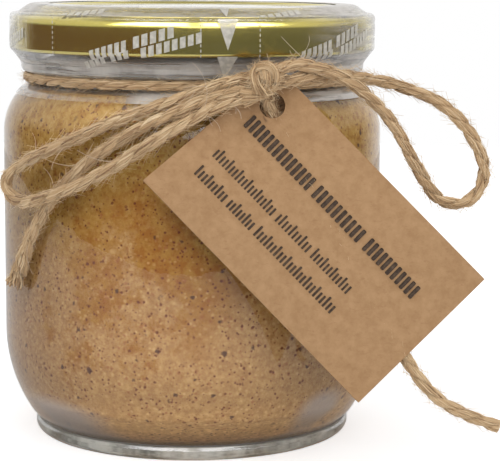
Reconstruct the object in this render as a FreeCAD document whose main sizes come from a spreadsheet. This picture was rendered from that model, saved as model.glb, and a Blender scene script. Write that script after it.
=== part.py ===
import FreeCAD, Part
import math
import os

import Sketcher
from FreeCAD import Placement, Rotation, Vector

# A squat twist-off jar of hazelnut butter, in millimetres.  The origin is the centre of the
# foot, +Z is up, and the bow and tag hang on the -Y side.  Radii are from the jar's axis and
# heights from the surface it stands on.

SIZES = {
    # glass, outside: each inset is from the body's wall, each height from the one below
    "body_dia": 87.8,
    "foot_inset": 6.9,
    "foot_round": 1.6,
    "foot_side_height": 2.4,
    "sole_width": 5.3,
    "pushup_height": 2.2,
    "foot_groove_depth": 0.7,
    "foot_groove_height": 3.3,
    "heel_inset": 5.7,
    "heel_low_height": 5.2,
    "heel_height": 18.8,
    "side_height": 46.0,
    "shoulder_inset": 4.1,
    "shoulder_height": 10.0,
    "neck_depth": 3.2,
    "neck_slope_height": 1.4,
    "neck_height": 2.0,
    "bead_width": 2.9,
    "bead_slope_height": 1.0,
    "bead_height": 1.8,
    "finish_inset": 0.7,
    "finish_height": 12.7,
    "rim_slope_width": 1.5,
    "rim_slope_height": 2.7,
    # glass, inside
    "side_wall": 2.5,
    "floor_height": 7.0,
    "floor_inset": 6.5,
    "inner_heel_inset": 4.9,
    "inner_heel_rise": 2.8,
    "shoulder_wall": 1.8,
    "shoulder_bore_drop": 1.7,
    "neck_wall": 2.1,
    "mouth_step": 1.1,
    # filling, below the rim
    "headspace": 19.2,
    # lid of tinplate
    "lid_wall": 0.3,
    "lid_hem_gap": 0.8,
    "lid_hem_rise": 2.6,
    "lid_curl": 1.8,
    "lid_ring_overhang": 0.3,
    "lid_ring_width": 5.6,
    "lid_panel_drop": 0.5,
    "lid_ledge_inset": 1.7,
    "lid_ledge_drop": 2.0,
    "lid_corner_round": 1.2,
    # security band of clear film
    "film_wall": 0.1,
    "film_gap": 0.1,
    "film_reach": 4.3,
    # twine
    "twine_dia": 2.4,
    "twine_seat": 0.05,
    "twine_side_gap": 0.01,
    # knot
    "knot_side_wrap": 1.7,
    "knot_front_wrap": 1.5,
    "knot_end_wrap": 3.7,
    "knot_tilt": 18.0,
    "knot_shank_dia": 2.0,
    # tag of kraft card
    "tag_length": 65.2,
    "tag_width": 37.5,
    "tag_near_skew": 2.5,
    "tag_far_skew": 0.9,
    "tag_far_rise": 0.7,
    "tag_wall": 0.5,
    "tag_hole_dia": 5.5,
    "tag_hole_along": 7.7,
    "tag_hole_across": 31.0,
    "tag_turn": 8.0,
    "tag_lean": 12.0,
    "tag_roll": -47.0,
}

# The bow, the knot and the tag lie against a body of this radius and hang from a neck turn at
# this height, and they move with both.
BOW_RADIUS = 43.9
BOW_HEIGHT = 82.4
KNOT_CENTRE = Vector(15.7, -44.1, 83.6)
TAG_CORNER = Vector(-10.4, -48.7, 63.7)

# Twine routes: the corners of the straight runs that the twine's arcs join.
RIGHT_LOOP = [
    (18.0, -43.5, 86.5), (21.5, -42.5, 89.0), (25.5, -41.0, 89.5), (30.0, -39.5, 88.5),
    (34.5, -38.0, 85.0), (39.0, -37.5, 80.5), (43.0, -37.0, 75.0), (47.0, -37.0, 68.0),
    (50.5, -36.5, 61.5), (54.0, -36.0, 57.5), (60.0, -35.0, 57.0), (64.0, -34.0, 62.5),
    (62.5, -33.0, 69.0), (58.5, -31.5, 76.0), (53.0, -30.5, 80.5), (46.0, -29.5, 83.0),
    (39.5, -29.5, 84.5), (32.5, -33.0, 85.5), (26.5, -38.5, 85.0), (22.5, -42.0, 84.5),
    (17.5, -44.0, 83.5),
]
LEFT_LOOP = [
    (13.5, -43.5, 85.0), (7.0, -44.0, 84.0), (-1.0, -44.0, 81.0), (-9.5, -43.0, 78.0),
    (-18.5, -41.0, 74.5), (-27.0, -37.5, 70.5), (-33.5, -33.5, 67.5), (-38.0, -29.0, 64.5),
    (-41.0, -26.5, 62.0), (-41.0, -26.5, 58.5), (-38.0, -29.0, 56.5), (-34.5, -34.5, 57.5),
    (-28.0, -39.5, 60.0), (-22.0, -43.0, 63.0), (-15.0, -45.0, 67.0), (-8.0, -46.5, 71.5),
    (-1.0, -47.0, 75.5), (5.5, -46.5, 78.5), (12.5, -45.0, 79.5),
]
LEFT_END = [
    (13.0, -45.5, 82.5), (6.0, -45.5, 81.5), (-1.5, -45.0, 78.5), (-9.5, -44.0, 75.0),
    (-16.5, -42.5, 71.0), (-23.0, -39.5, 66.0), (-29.0, -35.5, 60.0), (-33.0, -31.5, 54.0),
    (-36.0, -28.5, 48.0), (-38.0, -25.5, 42.0), (-40.0, -22.5, 37.0),
]
RIGHT_END = [
    (16.0, -44.5, 81.0), (15.5, -43.0, 80.0), (16.5, -40.5, 78.0), (19.0, -41.0, 73.5),
    (23.0, -42.0, 65.0), (29.0, -43.5, 54.0), (36.0, -45.0, 42.0), (42.0, -46.5, 31.0),
    (47.0, -48.0, 23.0), (52.0, -49.0, 17.0), (58.5, -49.5, 13.5), (65.5, -49.0, 11.0),
]
# The shank that leads from the neck turn, past the tag's edge, into the knot.
KNOT_SHANK = [
    (6.0, -38.0, 82.2), (8.5, -41.7, 82.1), (11.0, -43.3, 81.9), (15.0, -43.6, 82.6),
]
# The share of the shorter run that each arc takes, and how closely a swept length of twine
# must keep its section's area.
ARC_SHARE = 0.45
SWEEP_TOLERANCE = 0.01
# Where the sides of an octagon round a circle start, as a share of its radius.
FACET_START = 2 - math.sqrt(2)


class Size:
    """A number of the sheet, or one worked out from the sheet, with its formula."""

    def __init__(self, value, text):
        self.value = value
        self.text = text

    def _join(self, other, sign, value):
        text = other.text if isinstance(other, Size) else repr(other)
        return Size(value, "(%s %s %s)" % (self.text, sign, text))

    def __add__(self, other):
        return self._join(other, "+", self.value + plain(other))

    def __sub__(self, other):
        return self._join(other, "-", self.value - plain(other))

    def __mul__(self, other):
        return self._join(other, "*", self.value * plain(other))

    def __truediv__(self, other):
        return self._join(other, "/", self.value / plain(other))


def plain(number):
    """The value of a Size or of a plain number."""
    return number.value if isinstance(number, Size) else number


def size(name):
    """A driving dimension, by its name in the sheet."""
    return Size(SIZES[name], "Sizes." + name)


def radius(name):
    """Half of a driving diameter."""
    return size(name) / 2


def larger(first, second):
    """The larger of two sizes."""
    return Size(max(first.value, second.value), "max(%s; %s)" % (first.text, second.text))


def slant(across, along):
    """The length of a slope that goes so far across and along."""
    text = "sqrt(%s * %s + %s * %s)" % (across.text, across.text, along.text, along.text)
    return Size(math.hypot(across.value, along.value), text)


def tangent_radius(across, along):
    """The radius of an arc that leaves a straight wall and ends so far in and along."""
    return (across * across + along * along) / (across * 2)


NOTHING = size("film_wall") * 0

# Radii of the glass, from the body in to the mouth.
BODY = radius("body_dia")
FOOT = BODY - size("foot_inset")
HEEL = BODY - size("heel_inset")
SHOULDER = BODY - size("shoulder_inset")
NECK = SHOULDER - size("neck_depth")
BEAD = NECK + size("bead_width")
FINISH = BEAD - size("finish_inset")
RIM = FINISH - size("rim_slope_width")
BORE = BODY - size("side_wall")
INNER_HEEL = BORE - size("inner_heel_inset")
SHOULDER_BORE = SHOULDER - size("shoulder_wall")
NECK_BORE = NECK - size("neck_wall")
MOUTH = NECK_BORE + size("mouth_step")

# Heights of the glass, from the foot up.
HEEL_LOW = size("heel_low_height")
HEEL_TOP = HEEL_LOW + size("heel_height")
SIDE_TOP = HEEL_TOP + size("side_height")
SHOULDER_TOP = SIDE_TOP + size("shoulder_height")
NECK_LOW = SHOULDER_TOP + size("neck_slope_height")
NECK_TOP = NECK_LOW + size("neck_height")
BEAD_LOW = NECK_TOP + size("bead_slope_height")
BEAD_TOP = BEAD_LOW + size("bead_height")
RIM_TOP = BEAD_TOP + size("finish_height")

# The lid: its hem clears the bead and its ring rests on the rim.
HEM = BEAD + size("lid_hem_gap")
SKIRT = HEM + size("lid_curl")
HEM_LOW = BEAD_TOP + size("lid_hem_rise")
LID_RING = RIM + size("lid_ring_overhang")
LID_PANEL = LID_RING - size("lid_ring_width")
LID_LEDGE = SKIRT - size("lid_ledge_inset")
LID_TOP = RIM_TOP + size("lid_wall")
LEDGE_TOP = LID_TOP - size("lid_ledge_drop")

# The turn of twine lies on the film in the neck's groove, and a thick one stands further out,
# against the slope under the bead.
COVER = radius("twine_dia") + size("film_gap") + size("film_wall")
BEAD_SLANT = slant(size("bead_width"), size("bead_slope_height"))
WEDGED = ((COVER + size("twine_side_gap")) * BEAD_SLANT
          - size("neck_height") / 2 * size("bead_width")) / size("bead_slope_height")
TURN = NECK + larger(COVER + size("twine_seat"), WEDGED)
TURN_HEIGHT = (NECK_LOW + NECK_TOP) / 2
BOW_SHIFT = Vector(0, BOW_RADIUS - BODY.value, TURN_HEIGHT.value - BOW_HEIGHT)


def make_sheet(doc):
    """Write the driving dimensions into the document's spreadsheet."""
    sheet = doc.addObject("Spreadsheet::Sheet", "Sizes")
    for row, (name, value) in enumerate(SIZES.items(), start=1):
        sheet.set("A%d" % row, name)
        sheet.set("B%d" % row, str(value))
        sheet.setAlias("B%d" % row, name)
    doc.recompute()
    return sheet


def plane_of(body, role):
    """One of a body's origin planes."""
    return next(item for item in body.Origin.OriginFeatures if item.Role == role)


def new_sketch(body, name, role):
    """An empty sketch on one of the body's origin planes."""
    sketch = body.newObject("Sketcher::SketchObject", name)
    sketch.AttachmentSupport = [(plane_of(body, role), "")]
    sketch.MapMode = "FlatFace"
    return sketch


def arc_between(start, end, arc_radius, side):
    """A circular arc from start to end; side +1 bulges to the right of the way there."""
    chord = end - start
    right = Vector(chord.y, -chord.x, 0).normalize()
    depth = math.sqrt(max(arc_radius ** 2 - (chord.Length / 2) ** 2, 0.0))
    peak = (start + end) * 0.5 + right * side * (arc_radius - depth)
    return Part.Arc(start, peak, end).toShape()


def draw_loop(sketch, steps):
    """Draw a closed outline of lines and arcs, each corner tied to its formula.

    Each step is (x, y) or (x, y, radius, side): the corner, and for an arc the radius and
    the side it bulges to on the way to the next corner.
    """
    corners = [Vector(plain(step[0]), plain(step[1]), 0) for step in steps]
    first = sketch.GeometryCount
    count = len(steps)
    starts = []
    ends = []
    for index, step in enumerate(steps):
        start = corners[index]
        end = corners[(index + 1) % count]
        if len(step) == 2:
            sketch.addGeometry(Part.LineSegment(start, end), False)
            starts.append(1)
            ends.append(2)
            continue
        edge = arc_between(start, end, plain(step[2]), step[3])
        arc = Part.ArcOfCircle(edge.Curve, edge.FirstParameter, edge.LastParameter)
        sketch.addGeometry(arc, False)
        forward = arc.StartPoint.distanceToPoint(start) < arc.EndPoint.distanceToPoint(start)
        starts.append(1 if forward else 2)
        ends.append(2 if forward else 1)
    for index, step in enumerate(steps):
        following = (index + 1) % count
        sketch.addConstraint(Sketcher.Constraint(
            "Coincident", first + index, ends[index], first + following, starts[following]))
        for kind, number in (("DistanceX", step[0]), ("DistanceY", step[1])):
            place = sketch.addConstraint(Sketcher.Constraint(
                kind, -1, 1, first + index, starts[index], plain(number)))
            sketch.setExpression("Constraints[%d]" % place, number.text)
        if len(step) == 4:
            place = sketch.addConstraint(Sketcher.Constraint(
                "Radius", first + index, plain(step[2])))
            sketch.setExpression("Constraints[%d]" % place, step[2].text)


def turned_body(doc, name, steps):
    """A body turned about the jar's axis from one closed outline."""
    body = doc.addObject("PartDesign::Body", name)
    sketch = new_sketch(body, name + "_outline", "XZ_Plane")
    draw_loop(sketch, steps)
    turn = body.newObject("PartDesign::Revolution", name + "_turned")
    turn.Profile = sketch
    turn.ReferenceAxis = (sketch, ["V_Axis"])
    turn.Angle = 360
    doc.recompute()
    return body


def hollow_out(doc, body, name, steps):
    """Turn a hollow out of a body, and make sure that it takes material away."""
    before = body.Shape.Volume
    sketch = new_sketch(body, name + "_outline", "XZ_Plane")
    draw_loop(sketch, steps)
    groove = body.newObject("PartDesign::Groove", name)
    groove.Profile = sketch
    groove.ReferenceAxis = (sketch, ["V_Axis"])
    groove.Angle = 360
    doc.recompute()
    if body.Shape.Volume >= before:
        raise ValueError(name + " removes nothing")


def glass_outside():
    """The outline of the glass as if it were solid, from the push-up round to the rim."""
    foot_round = size("foot_round")
    sole = FOOT - size("sole_width")
    return [
        (NOTHING, size("pushup_height")),
        (sole - size("pushup_height"), size("pushup_height")),
        (sole, NOTHING),
        (FOOT - foot_round, NOTHING, foot_round, 1),
        (FOOT, foot_round),
        (FOOT, size("foot_side_height")),
        (FOOT - size("foot_groove_depth"), size("foot_groove_height")),
        (HEEL, HEEL_LOW, tangent_radius(size("heel_inset"), size("heel_height")), 1),
        (BODY, HEEL_TOP),
        (BODY, SIDE_TOP, tangent_radius(size("shoulder_inset"), size("shoulder_height")), 1),
        (SHOULDER, SHOULDER_TOP),
        (NECK, NECK_LOW),
        (NECK, NECK_TOP),
        (BEAD, BEAD_LOW),
        (BEAD, BEAD_TOP),
        (FINISH, BEAD_TOP + size("finish_inset")),
        (FINISH, RIM_TOP - size("rim_slope_height")),
        (RIM, RIM_TOP),
        (NOTHING, RIM_TOP),
    ]


def glass_inside():
    """The outline of the jar's hollow, from the floor up to the rim."""
    heel_low = size("floor_height") + size("inner_heel_rise")
    shoulder_top = SHOULDER_TOP - size("shoulder_bore_drop")
    heel_arc = tangent_radius(size("inner_heel_inset"), HEEL_TOP - heel_low)
    shoulder_arc = tangent_radius(BORE - SHOULDER_BORE, shoulder_top - SIDE_TOP)
    return [
        (NOTHING, size("floor_height")),
        (INNER_HEEL - size("floor_inset"), size("floor_height")),
        (INNER_HEEL, heel_low, heel_arc, 1),
        (BORE, HEEL_TOP),
        (BORE, SIDE_TOP, shoulder_arc, 1),
        (SHOULDER_BORE, shoulder_top),
        (NECK_BORE, NECK_LOW),
        (NECK_BORE, NECK_TOP),
        (MOUTH, BEAD_TOP),
        (MOUTH, RIM_TOP),
        (NOTHING, RIM_TOP),
    ]


def make_glass(doc):
    """The glass jar: a turned solid with its hollow bored out."""
    body = turned_body(doc, "glass_jar", glass_outside())
    hollow_out(doc, body, "glass_jar_hollow", glass_inside())
    return body


def make_butter(doc):
    """The filling: the jar's hollow up to the level of the butter."""
    hollow = turned_body(doc, "hollow", glass_inside())
    below = doc.addObject("Part::Cylinder", "below_level")
    below.setExpression("Radius", size("body_dia").text)
    below.setExpression("Height", (RIM_TOP - size("headspace")).text)
    butter = doc.addObject("Part::Common", "hazelnut_butter")
    butter.Base = hollow
    butter.Tool = below
    return butter


def make_lid(doc):
    """The tinplate lid: a panel, a raised ring, a ledge, a skirt and its rolled hem."""
    wall = size("lid_wall")
    half_curl = size("lid_curl") / 2
    panel_top = LID_TOP - size("lid_panel_drop")
    panel_edge = LID_PANEL + size("lid_panel_drop")
    corner = size("lid_corner_round")
    curl_top = HEM_LOW + size("lid_curl")
    return turned_body(doc, "lid", [
        (NOTHING, panel_top),
        (NOTHING, panel_top - wall),
        (LID_PANEL + wall / 2, panel_top - wall),
        (panel_edge + wall / 2, LID_TOP - wall),
        (LID_RING - wall / 2, LID_TOP - wall),
        (LID_LEDGE - wall / 2, LEDGE_TOP - wall),
        (SKIRT - corner, LEDGE_TOP - wall, corner - wall, -1),
        (SKIRT - wall, LEDGE_TOP - corner),
        (SKIRT - wall, curl_top),
        (HEM, curl_top - wall),
        (HEM, HEM_LOW + half_curl, half_curl, 1),
        (SKIRT - half_curl, HEM_LOW, half_curl, 1),
        (SKIRT, HEM_LOW + half_curl),
        (SKIRT, LEDGE_TOP - corner, corner, 1),
        (SKIRT - corner, LEDGE_TOP),
        (LID_LEDGE, LEDGE_TOP),
        (LID_RING, LID_TOP),
        (panel_edge, LID_TOP),
        (LID_PANEL, panel_top),
    ])


def film_path(out):
    """The corners of the film's section, so far off the lid and the glass.

    Round the lid's curl the film is a straight facet that touches the curl halfway.
    """
    corner = size("lid_corner_round")
    facet = size("lid_curl") / 2 * FACET_START
    return [
        (LID_RING - size("film_reach"), LID_TOP + out),
        (LID_RING + out / 2, LID_TOP + out),
        (LID_LEDGE + out / 2, LEDGE_TOP + out),
        (SKIRT - corner / 2 + out / 2, LEDGE_TOP + out),
        (SKIRT + out, LEDGE_TOP - corner / 2),
        (SKIRT + out, HEM_LOW + facet),
        (SKIRT - facet, HEM_LOW - out),
        (BEAD + out, BEAD_TOP + out),
        (BEAD + out, BEAD_LOW - out / 2),
        (NECK + out, NECK_TOP - out / 2),
        (NECK + out, NECK_LOW + out / 2),
        (SHOULDER + out, SHOULDER_TOP + out / 2),
    ]


def make_film(doc):
    """The shrunk security band over the lid's edge, the neck and the top of the shoulder."""
    inner = film_path(size("film_gap"))
    outer = film_path(size("film_gap") + size("film_wall"))
    return turned_body(doc, "security_band", inner + outer[::-1])


def make_neck_twine(doc):
    """The one turn of twine that lies in the neck's groove, over the film."""
    ring = doc.addObject("Part::Torus", "neck_twine")
    ring.setExpression("Radius1", TURN.text)
    ring.setExpression("Radius2", radius("twine_dia").text)
    ring.setExpression("Placement.Base.z", TURN_HEIGHT.text)
    return ring


def rounded_path(points):
    """Straight runs joined by tangent arcs, with the radius at each point between."""
    corners = [Vector(*point) + BOW_SHIFT for point in points]
    edges = []
    radii = []
    last = corners[0]
    for before, here, after in zip(corners, corners[1:], corners[2:]):
        back = before - here
        ahead = after - here
        setback = ARC_SHARE * min(back.Length, ahead.Length)
        half_turn = (math.pi - back.getAngle(ahead)) / 2
        arc_radius = setback / math.tan(half_turn)
        back.normalize()
        ahead.normalize()
        start = here + back * setback
        end = here + ahead * setback
        centre_way = (back + ahead).normalize()
        centre = here + centre_way * math.hypot(arc_radius, setback)
        peak = centre - centre_way * arc_radius
        edges.append(Part.LineSegment(last, start).toShape())
        edges.append(Part.Arc(start, peak, end).toShape())
        radii.append(arc_radius)
        last = end
    edges.append(Part.LineSegment(last, corners[-1]).toShape())
    return Part.Wire(edges), radii


def make_twine(doc, name, points, dia_name="twine_dia"):
    """A length of twine swept along its route, its volume checked against its length."""
    wire, radii = rounded_path(points)
    path = doc.addObject("Part::Feature", name + "_path")
    path.Shape = wire
    section = doc.addObject("Part::Circle", name + "_section")
    section.setExpression("Radius", radius(dia_name).text)
    start = Vector(*points[0])
    heading = Vector(*points[1]) - start
    section.Placement = Placement(start + BOW_SHIFT, Rotation(Vector(0, 0, 1), heading))
    tube = doc.addObject("Part::Sweep", name)
    tube.Sections = [section]
    tube.Spine = (path, ["Edge%d" % number for number in range(1, len(wire.Edges) + 1)])
    tube.Solid = True
    tube.Frenet = False
    doc.recompute()
    expected = math.pi * plain(radius(dia_name)) ** 2 * wire.Length
    if abs(tube.Shape.Volume / expected - 1) > SWEEP_TOLERANCE:
        raise ValueError(name + " lost or gained volume in its sweep")
    print("%s: length %.1f, arc radii %s" % (
        name, wire.Length, " ".join("%.1f" % value for value in radii)))
    return tube


def make_tag(doc):
    """The kraft card tag: a hand-cut four-sided card with a punched hole."""
    body = doc.addObject("PartDesign::Body", "tag")
    sketch = new_sketch(body, "tag_outline", "XY_Plane")
    draw_loop(sketch, [
        (NOTHING, NOTHING),
        (size("tag_length"), NOTHING),
        (size("tag_length") + size("tag_far_skew"), size("tag_width") + size("tag_far_rise")),
        (size("tag_near_skew"), size("tag_width")),
    ])
    hole = sketch.addGeometry(Part.Circle(
        Vector(SIZES["tag_hole_along"], SIZES["tag_hole_across"], 0), Vector(0, 0, 1),
        SIZES["tag_hole_dia"] / 2), False)
    for kind, number in (("DistanceX", size("tag_hole_along")),
                         ("DistanceY", size("tag_hole_across"))):
        place = sketch.addConstraint(Sketcher.Constraint(kind, -1, 1, hole, 3, plain(number)))
        sketch.setExpression("Constraints[%d]" % place, number.text)
    place = sketch.addConstraint(Sketcher.Constraint(
        "Radius", hole, plain(radius("tag_hole_dia"))))
    sketch.setExpression("Constraints[%d]" % place, radius("tag_hole_dia").text)
    pad = body.newObject("PartDesign::Pad", "tag_card")
    pad.Profile = sketch
    pad.setExpression("Length", size("tag_wall").text)
    turn = Rotation(Vector(0, 0, 1), SIZES["tag_turn"])
    lean = Rotation(Vector(1, 0, 0), 90 - SIZES["tag_lean"])
    roll = Rotation(Vector(0, 0, 1), SIZES["tag_roll"])
    body.Placement = Placement(TAG_CORNER + BOW_SHIFT, turn * lean * roll)
    doc.recompute()
    return body


def make_knot(doc, held):
    """The knot: an egg of wrapped twine and its shank, hollowed for the pieces it holds."""
    egg = doc.addObject("Part::Ellipsoid", "knot_egg")
    core = radius("twine_dia")
    egg.setExpression("Radius1", (core + size("knot_end_wrap")).text)
    egg.setExpression("Radius2", (core + size("knot_side_wrap")).text)
    egg.setExpression("Radius3", (core + size("knot_front_wrap")).text)
    tilt = Rotation(Vector(0, 1, 0), SIZES["knot_tilt"])
    egg.Placement = Placement(KNOT_CENTRE + BOW_SHIFT, tilt)
    shank = make_twine(doc, "knot_shank", KNOT_SHANK, "knot_shank_dia")
    whole = doc.addObject("Part::Fuse", "knot_whole")
    whole.Base = egg
    whole.Tool = shank
    tools = doc.addObject("Part::MultiFuse", "held_by_knot")
    tools.Shapes = held
    knot = doc.addObject("Part::Cut", "knot")
    knot.Base = whole
    knot.Tool = tools
    return knot


def check(doc, pieces):
    """Stop if any object failed or any piece isn't one sound solid."""
    for item in doc.Objects:
        if "Invalid" in item.State or "Error" in item.State:
            raise ValueError("%s is %s" % (item.Name, item.State))
    for piece in pieces:
        shape = piece.Shape
        if shape.isNull() or not shape.isValid() or len(shape.Solids) != 1:
            raise ValueError("%s is not one sound solid" % piece.Label)


def main():
    """Build the jar and write one STEP file for each piece."""
    doc = FreeCAD.newDocument("hazelnut_butter_jar")
    make_sheet(doc)
    pieces = [make_glass(doc), make_butter(doc), make_lid(doc), make_film(doc)]
    ring = make_neck_twine(doc)
    cords = [
        make_twine(doc, "right_loop", RIGHT_LOOP),
        make_twine(doc, "left_loop", LEFT_LOOP),
        make_twine(doc, "left_end", LEFT_END),
        make_twine(doc, "right_end", RIGHT_END),
    ]
    tag = make_tag(doc)
    knot = make_knot(doc, [ring, tag] + cords)
    pieces += [ring] + cords + [tag, knot]
    doc.recompute()
    check(doc, pieces)
    os.makedirs("parts", exist_ok=True)
    for piece in pieces:
        piece.Shape.exportStep(os.path.join("parts", piece.Label + ".step"))
        print("%s: volume %.1f" % (piece.Label, piece.Shape.Volume))


main()
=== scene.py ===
"""A squat jar of hazelnut butter: glass, filling, lid, security band, twine bow and card tag.

Everything is in metres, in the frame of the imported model: the origin is the centre of the jar's
foot, +Z is up and the bow hangs on the -Y side.
"""

import logging
import math
from dataclasses import dataclass, field
from enum import Enum

import bpy
import numpy as np
from mathutils import Euler, Matrix, Vector

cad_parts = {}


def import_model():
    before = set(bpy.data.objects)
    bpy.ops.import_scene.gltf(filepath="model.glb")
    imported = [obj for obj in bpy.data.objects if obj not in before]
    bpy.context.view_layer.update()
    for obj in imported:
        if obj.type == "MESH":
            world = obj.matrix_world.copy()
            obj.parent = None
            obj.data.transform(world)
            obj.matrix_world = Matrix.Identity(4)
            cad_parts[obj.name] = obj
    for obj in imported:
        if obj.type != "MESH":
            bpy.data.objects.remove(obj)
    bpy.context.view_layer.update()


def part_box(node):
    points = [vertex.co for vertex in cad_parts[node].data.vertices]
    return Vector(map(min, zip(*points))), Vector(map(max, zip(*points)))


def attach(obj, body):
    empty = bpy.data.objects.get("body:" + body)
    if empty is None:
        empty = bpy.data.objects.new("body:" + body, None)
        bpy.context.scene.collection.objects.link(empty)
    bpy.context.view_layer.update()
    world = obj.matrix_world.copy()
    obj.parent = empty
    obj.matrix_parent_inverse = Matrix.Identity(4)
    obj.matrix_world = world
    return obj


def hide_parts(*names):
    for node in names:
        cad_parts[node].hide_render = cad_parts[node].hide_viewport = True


LOG = logging.getLogger("jar")
MM = 0.001
Outline = list[tuple[float, float]]
Route = list[tuple[float, float, float]]
Colour = tuple[float, float, float]


class Way(Enum):
    """Which way a stretch of outline is walked."""

    OUT = "out"
    BACK = "back"


class Lay(Enum):
    """How a length of twine lies, in the frame's words."""

    LOOSE = "loose"
    HANGING = "hanging"


# ---------------------------------------------------------------------------------- materials


def linear(red: int, green: int, blue: int) -> Colour:
    """Turn a colour written as 0 to 255 screen values into linear light.

    Args:
        red, green, blue: the screen values.

    Returns:
        The same colour for a shader.
    """
    def one(level: int) -> float:
        """One channel in linear light."""
        share = level / 255
        return share / 12.92 if share <= 0.04045 else ((share + 0.055) / 1.055) ** 2.4

    return one(red), one(green), one(blue)


class Graph:
    """A material's node tree, with short ways to add, set and join its nodes."""

    def __init__(self, name: str) -> None:
        """Start an empty material of this name."""
        self.material = bpy.data.materials.new(name)
        self.material.use_nodes = True
        self.tree = self.material.node_tree
        self.tree.nodes.clear()
        self.output = self.tree.nodes.new("ShaderNodeOutputMaterial")

    def feed(self, socket: bpy.types.NodeSocket, value: object) -> None:
        """Join a socket to another one, or set its number or colour.

        Args:
            socket: the input to feed.
            value: an output socket, a number, a colour or a vector.
        """
        if isinstance(value, bpy.types.NodeSocket):
            self.tree.links.new(value, socket)
        elif isinstance(value, tuple) and len(value) == 3 and socket.type == "RGBA":
            socket.default_value = (*value, 1.0)
        else:
            socket.default_value = value

    def node(self, kind: str, inputs: dict[str, object] | None = None,
             **settings: object) -> bpy.types.Node:
        """Add a node.

        Args:
            kind: the node's type without its "ShaderNode" prefix.
            inputs: values or sockets for its inputs, by name.
            settings: the node's own properties.

        Returns:
            The new node.
        """
        made = self.tree.nodes.new("ShaderNode" + kind)
        for key, value in settings.items():
            setattr(made, key, value)
        for key, value in (inputs or {}).items():
            self.feed(made.inputs[key], value)
        return made

    def maths(self, operation: str, *values: object, clamp: bool = False) -> bpy.types.NodeSocket:
        """Work out a number from others.

        Args:
            operation: the Math node's operation.
            values: sockets or numbers, in order.
            clamp: whether the result stays within 0 and 1.

        Returns:
            The result's socket.
        """
        made = self.tree.nodes.new("ShaderNodeMath")
        made.operation = operation
        made.use_clamp = clamp
        for index, value in enumerate(values):
            self.feed(made.inputs[index], value)
        return made.outputs[0]

    def place(self) -> bpy.types.NodeSocket:
        """The object's own coordinates."""
        return self.node("TexCoord").outputs["Object"]

    def attribute(self, name: str) -> bpy.types.NodeSocket:
        """A number stored on the mesh."""
        return self.node("Attribute", attribute_name=name).outputs["Fac"]

    def stretched(self, scale: tuple[float, float, float], turn: float = 0.0,
                  vector: bpy.types.NodeSocket | None = None) -> bpy.types.NodeSocket:
        """Coordinates scaled along each axis and turned about Z.

        Args:
            scale: the factor along each axis.
            turn: the angle about Z, in radians.
            vector: the coordinates to change, or the object's own.

        Returns:
            The changed coordinates.
        """
        made = self.node("Mapping", {"Vector": vector or self.place()})
        made.inputs["Scale"].default_value = scale
        made.inputs["Rotation"].default_value = (0.0, 0.0, turn)
        return made.outputs[0]

    def noise(self, size: float, detail: float = 2.0, roughness: float = 0.5,
              vector: bpy.types.NodeSocket | None = None,
              distortion: float = 0.0) -> bpy.types.NodeSocket:
        """Smooth noise from 0 to 1.

        Args:
            size: how many lumps there are in each metre.
            detail: how many finer layers it has.
            roughness: how strong the finer layers are.
            vector: the coordinates, or the object's own.
            distortion: how far the lumps are pushed about.

        Returns:
            The noise's socket.
        """
        made = self.node("TexNoise", {
            "Vector": vector or self.place(), "Scale": size, "Detail": detail,
            "Roughness": roughness, "Distortion": distortion})
        return made.outputs["Fac"]

    def cells(self, size: float, vector: bpy.types.NodeSocket | None = None,
              output: str = "Distance", randomness: float = 1.0) -> bpy.types.NodeSocket:
        """The distance to scattered points, or each point's colour.

        Args:
            size: how many points there are in each metre.
            vector: the coordinates, or the object's own.
            output: which of the texture's outputs.
            randomness: how uneven the points are.

        Returns:
            The output's socket.
        """
        made = self.node("TexVoronoi", {
            "Vector": vector or self.place(), "Scale": size, "Randomness": randomness})
        return made.outputs[output]

    def ramp(self, factor: bpy.types.NodeSocket,
             stops: list[tuple[float, Colour]]) -> bpy.types.NodeSocket:
        """Colours by a number.

        Args:
            factor: the number.
            stops: where each colour stands, from 0 to 1.

        Returns:
            The colour's socket.
        """
        made = self.node("ValToRGB", {"Fac": factor})
        marks = made.color_ramp.elements
        while len(marks) < len(stops):
            marks.new(1.0)
        for mark, (at, colour) in zip(marks, stops):
            mark.position = at
            mark.color = (*colour, 1.0)
        return made.outputs["Color"]

    def step(self, factor: bpy.types.NodeSocket, low: float, high: float,
             start: float = 0.0, end: float = 1.0) -> bpy.types.NodeSocket:
        """A smooth step from start, where the factor is low, to end, where it is high.

        Args:
            factor: the number that is read.
            low, high: where the step begins and ends.
            start, end: what it gives there.

        Returns:
            The stepped number's socket.
        """
        made = self.node("MapRange", {
            "Value": factor, "From Min": low, "From Max": high,
            "To Min": start, "To Max": end}, interpolation_type="SMOOTHSTEP")
        return made.outputs[0]

    def blend(self, factor: object, first: object, second: object,
              mode: str = "MIX") -> bpy.types.NodeSocket:
        """Mix two colours.

        Args:
            factor: how much of the second.
            first, second: colours or sockets.
            mode: the way they combine.

        Returns:
            The mixed colour's socket.
        """
        made = self.tree.nodes.new("ShaderNodeMix")
        made.data_type = "RGBA"
        made.blend_type = mode
        self.feed(made.inputs[0], factor)
        self.feed(made.inputs[6], first)
        self.feed(made.inputs[7], second)
        return made.outputs[2]

    def bump(self, height: bpy.types.NodeSocket, depth: float,
             strength: float = 1.0) -> bpy.types.NodeSocket:
        """A surface normal from a height.

        Args:
            height: the height, from 0 to 1.
            depth: how many metres a height of 1 stands for.
            strength: how much of it shows.

        Returns:
            The normal's socket.
        """
        made = self.node("Bump", {"Height": height, "Distance": depth, "Strength": strength})
        return made.outputs["Normal"]

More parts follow.
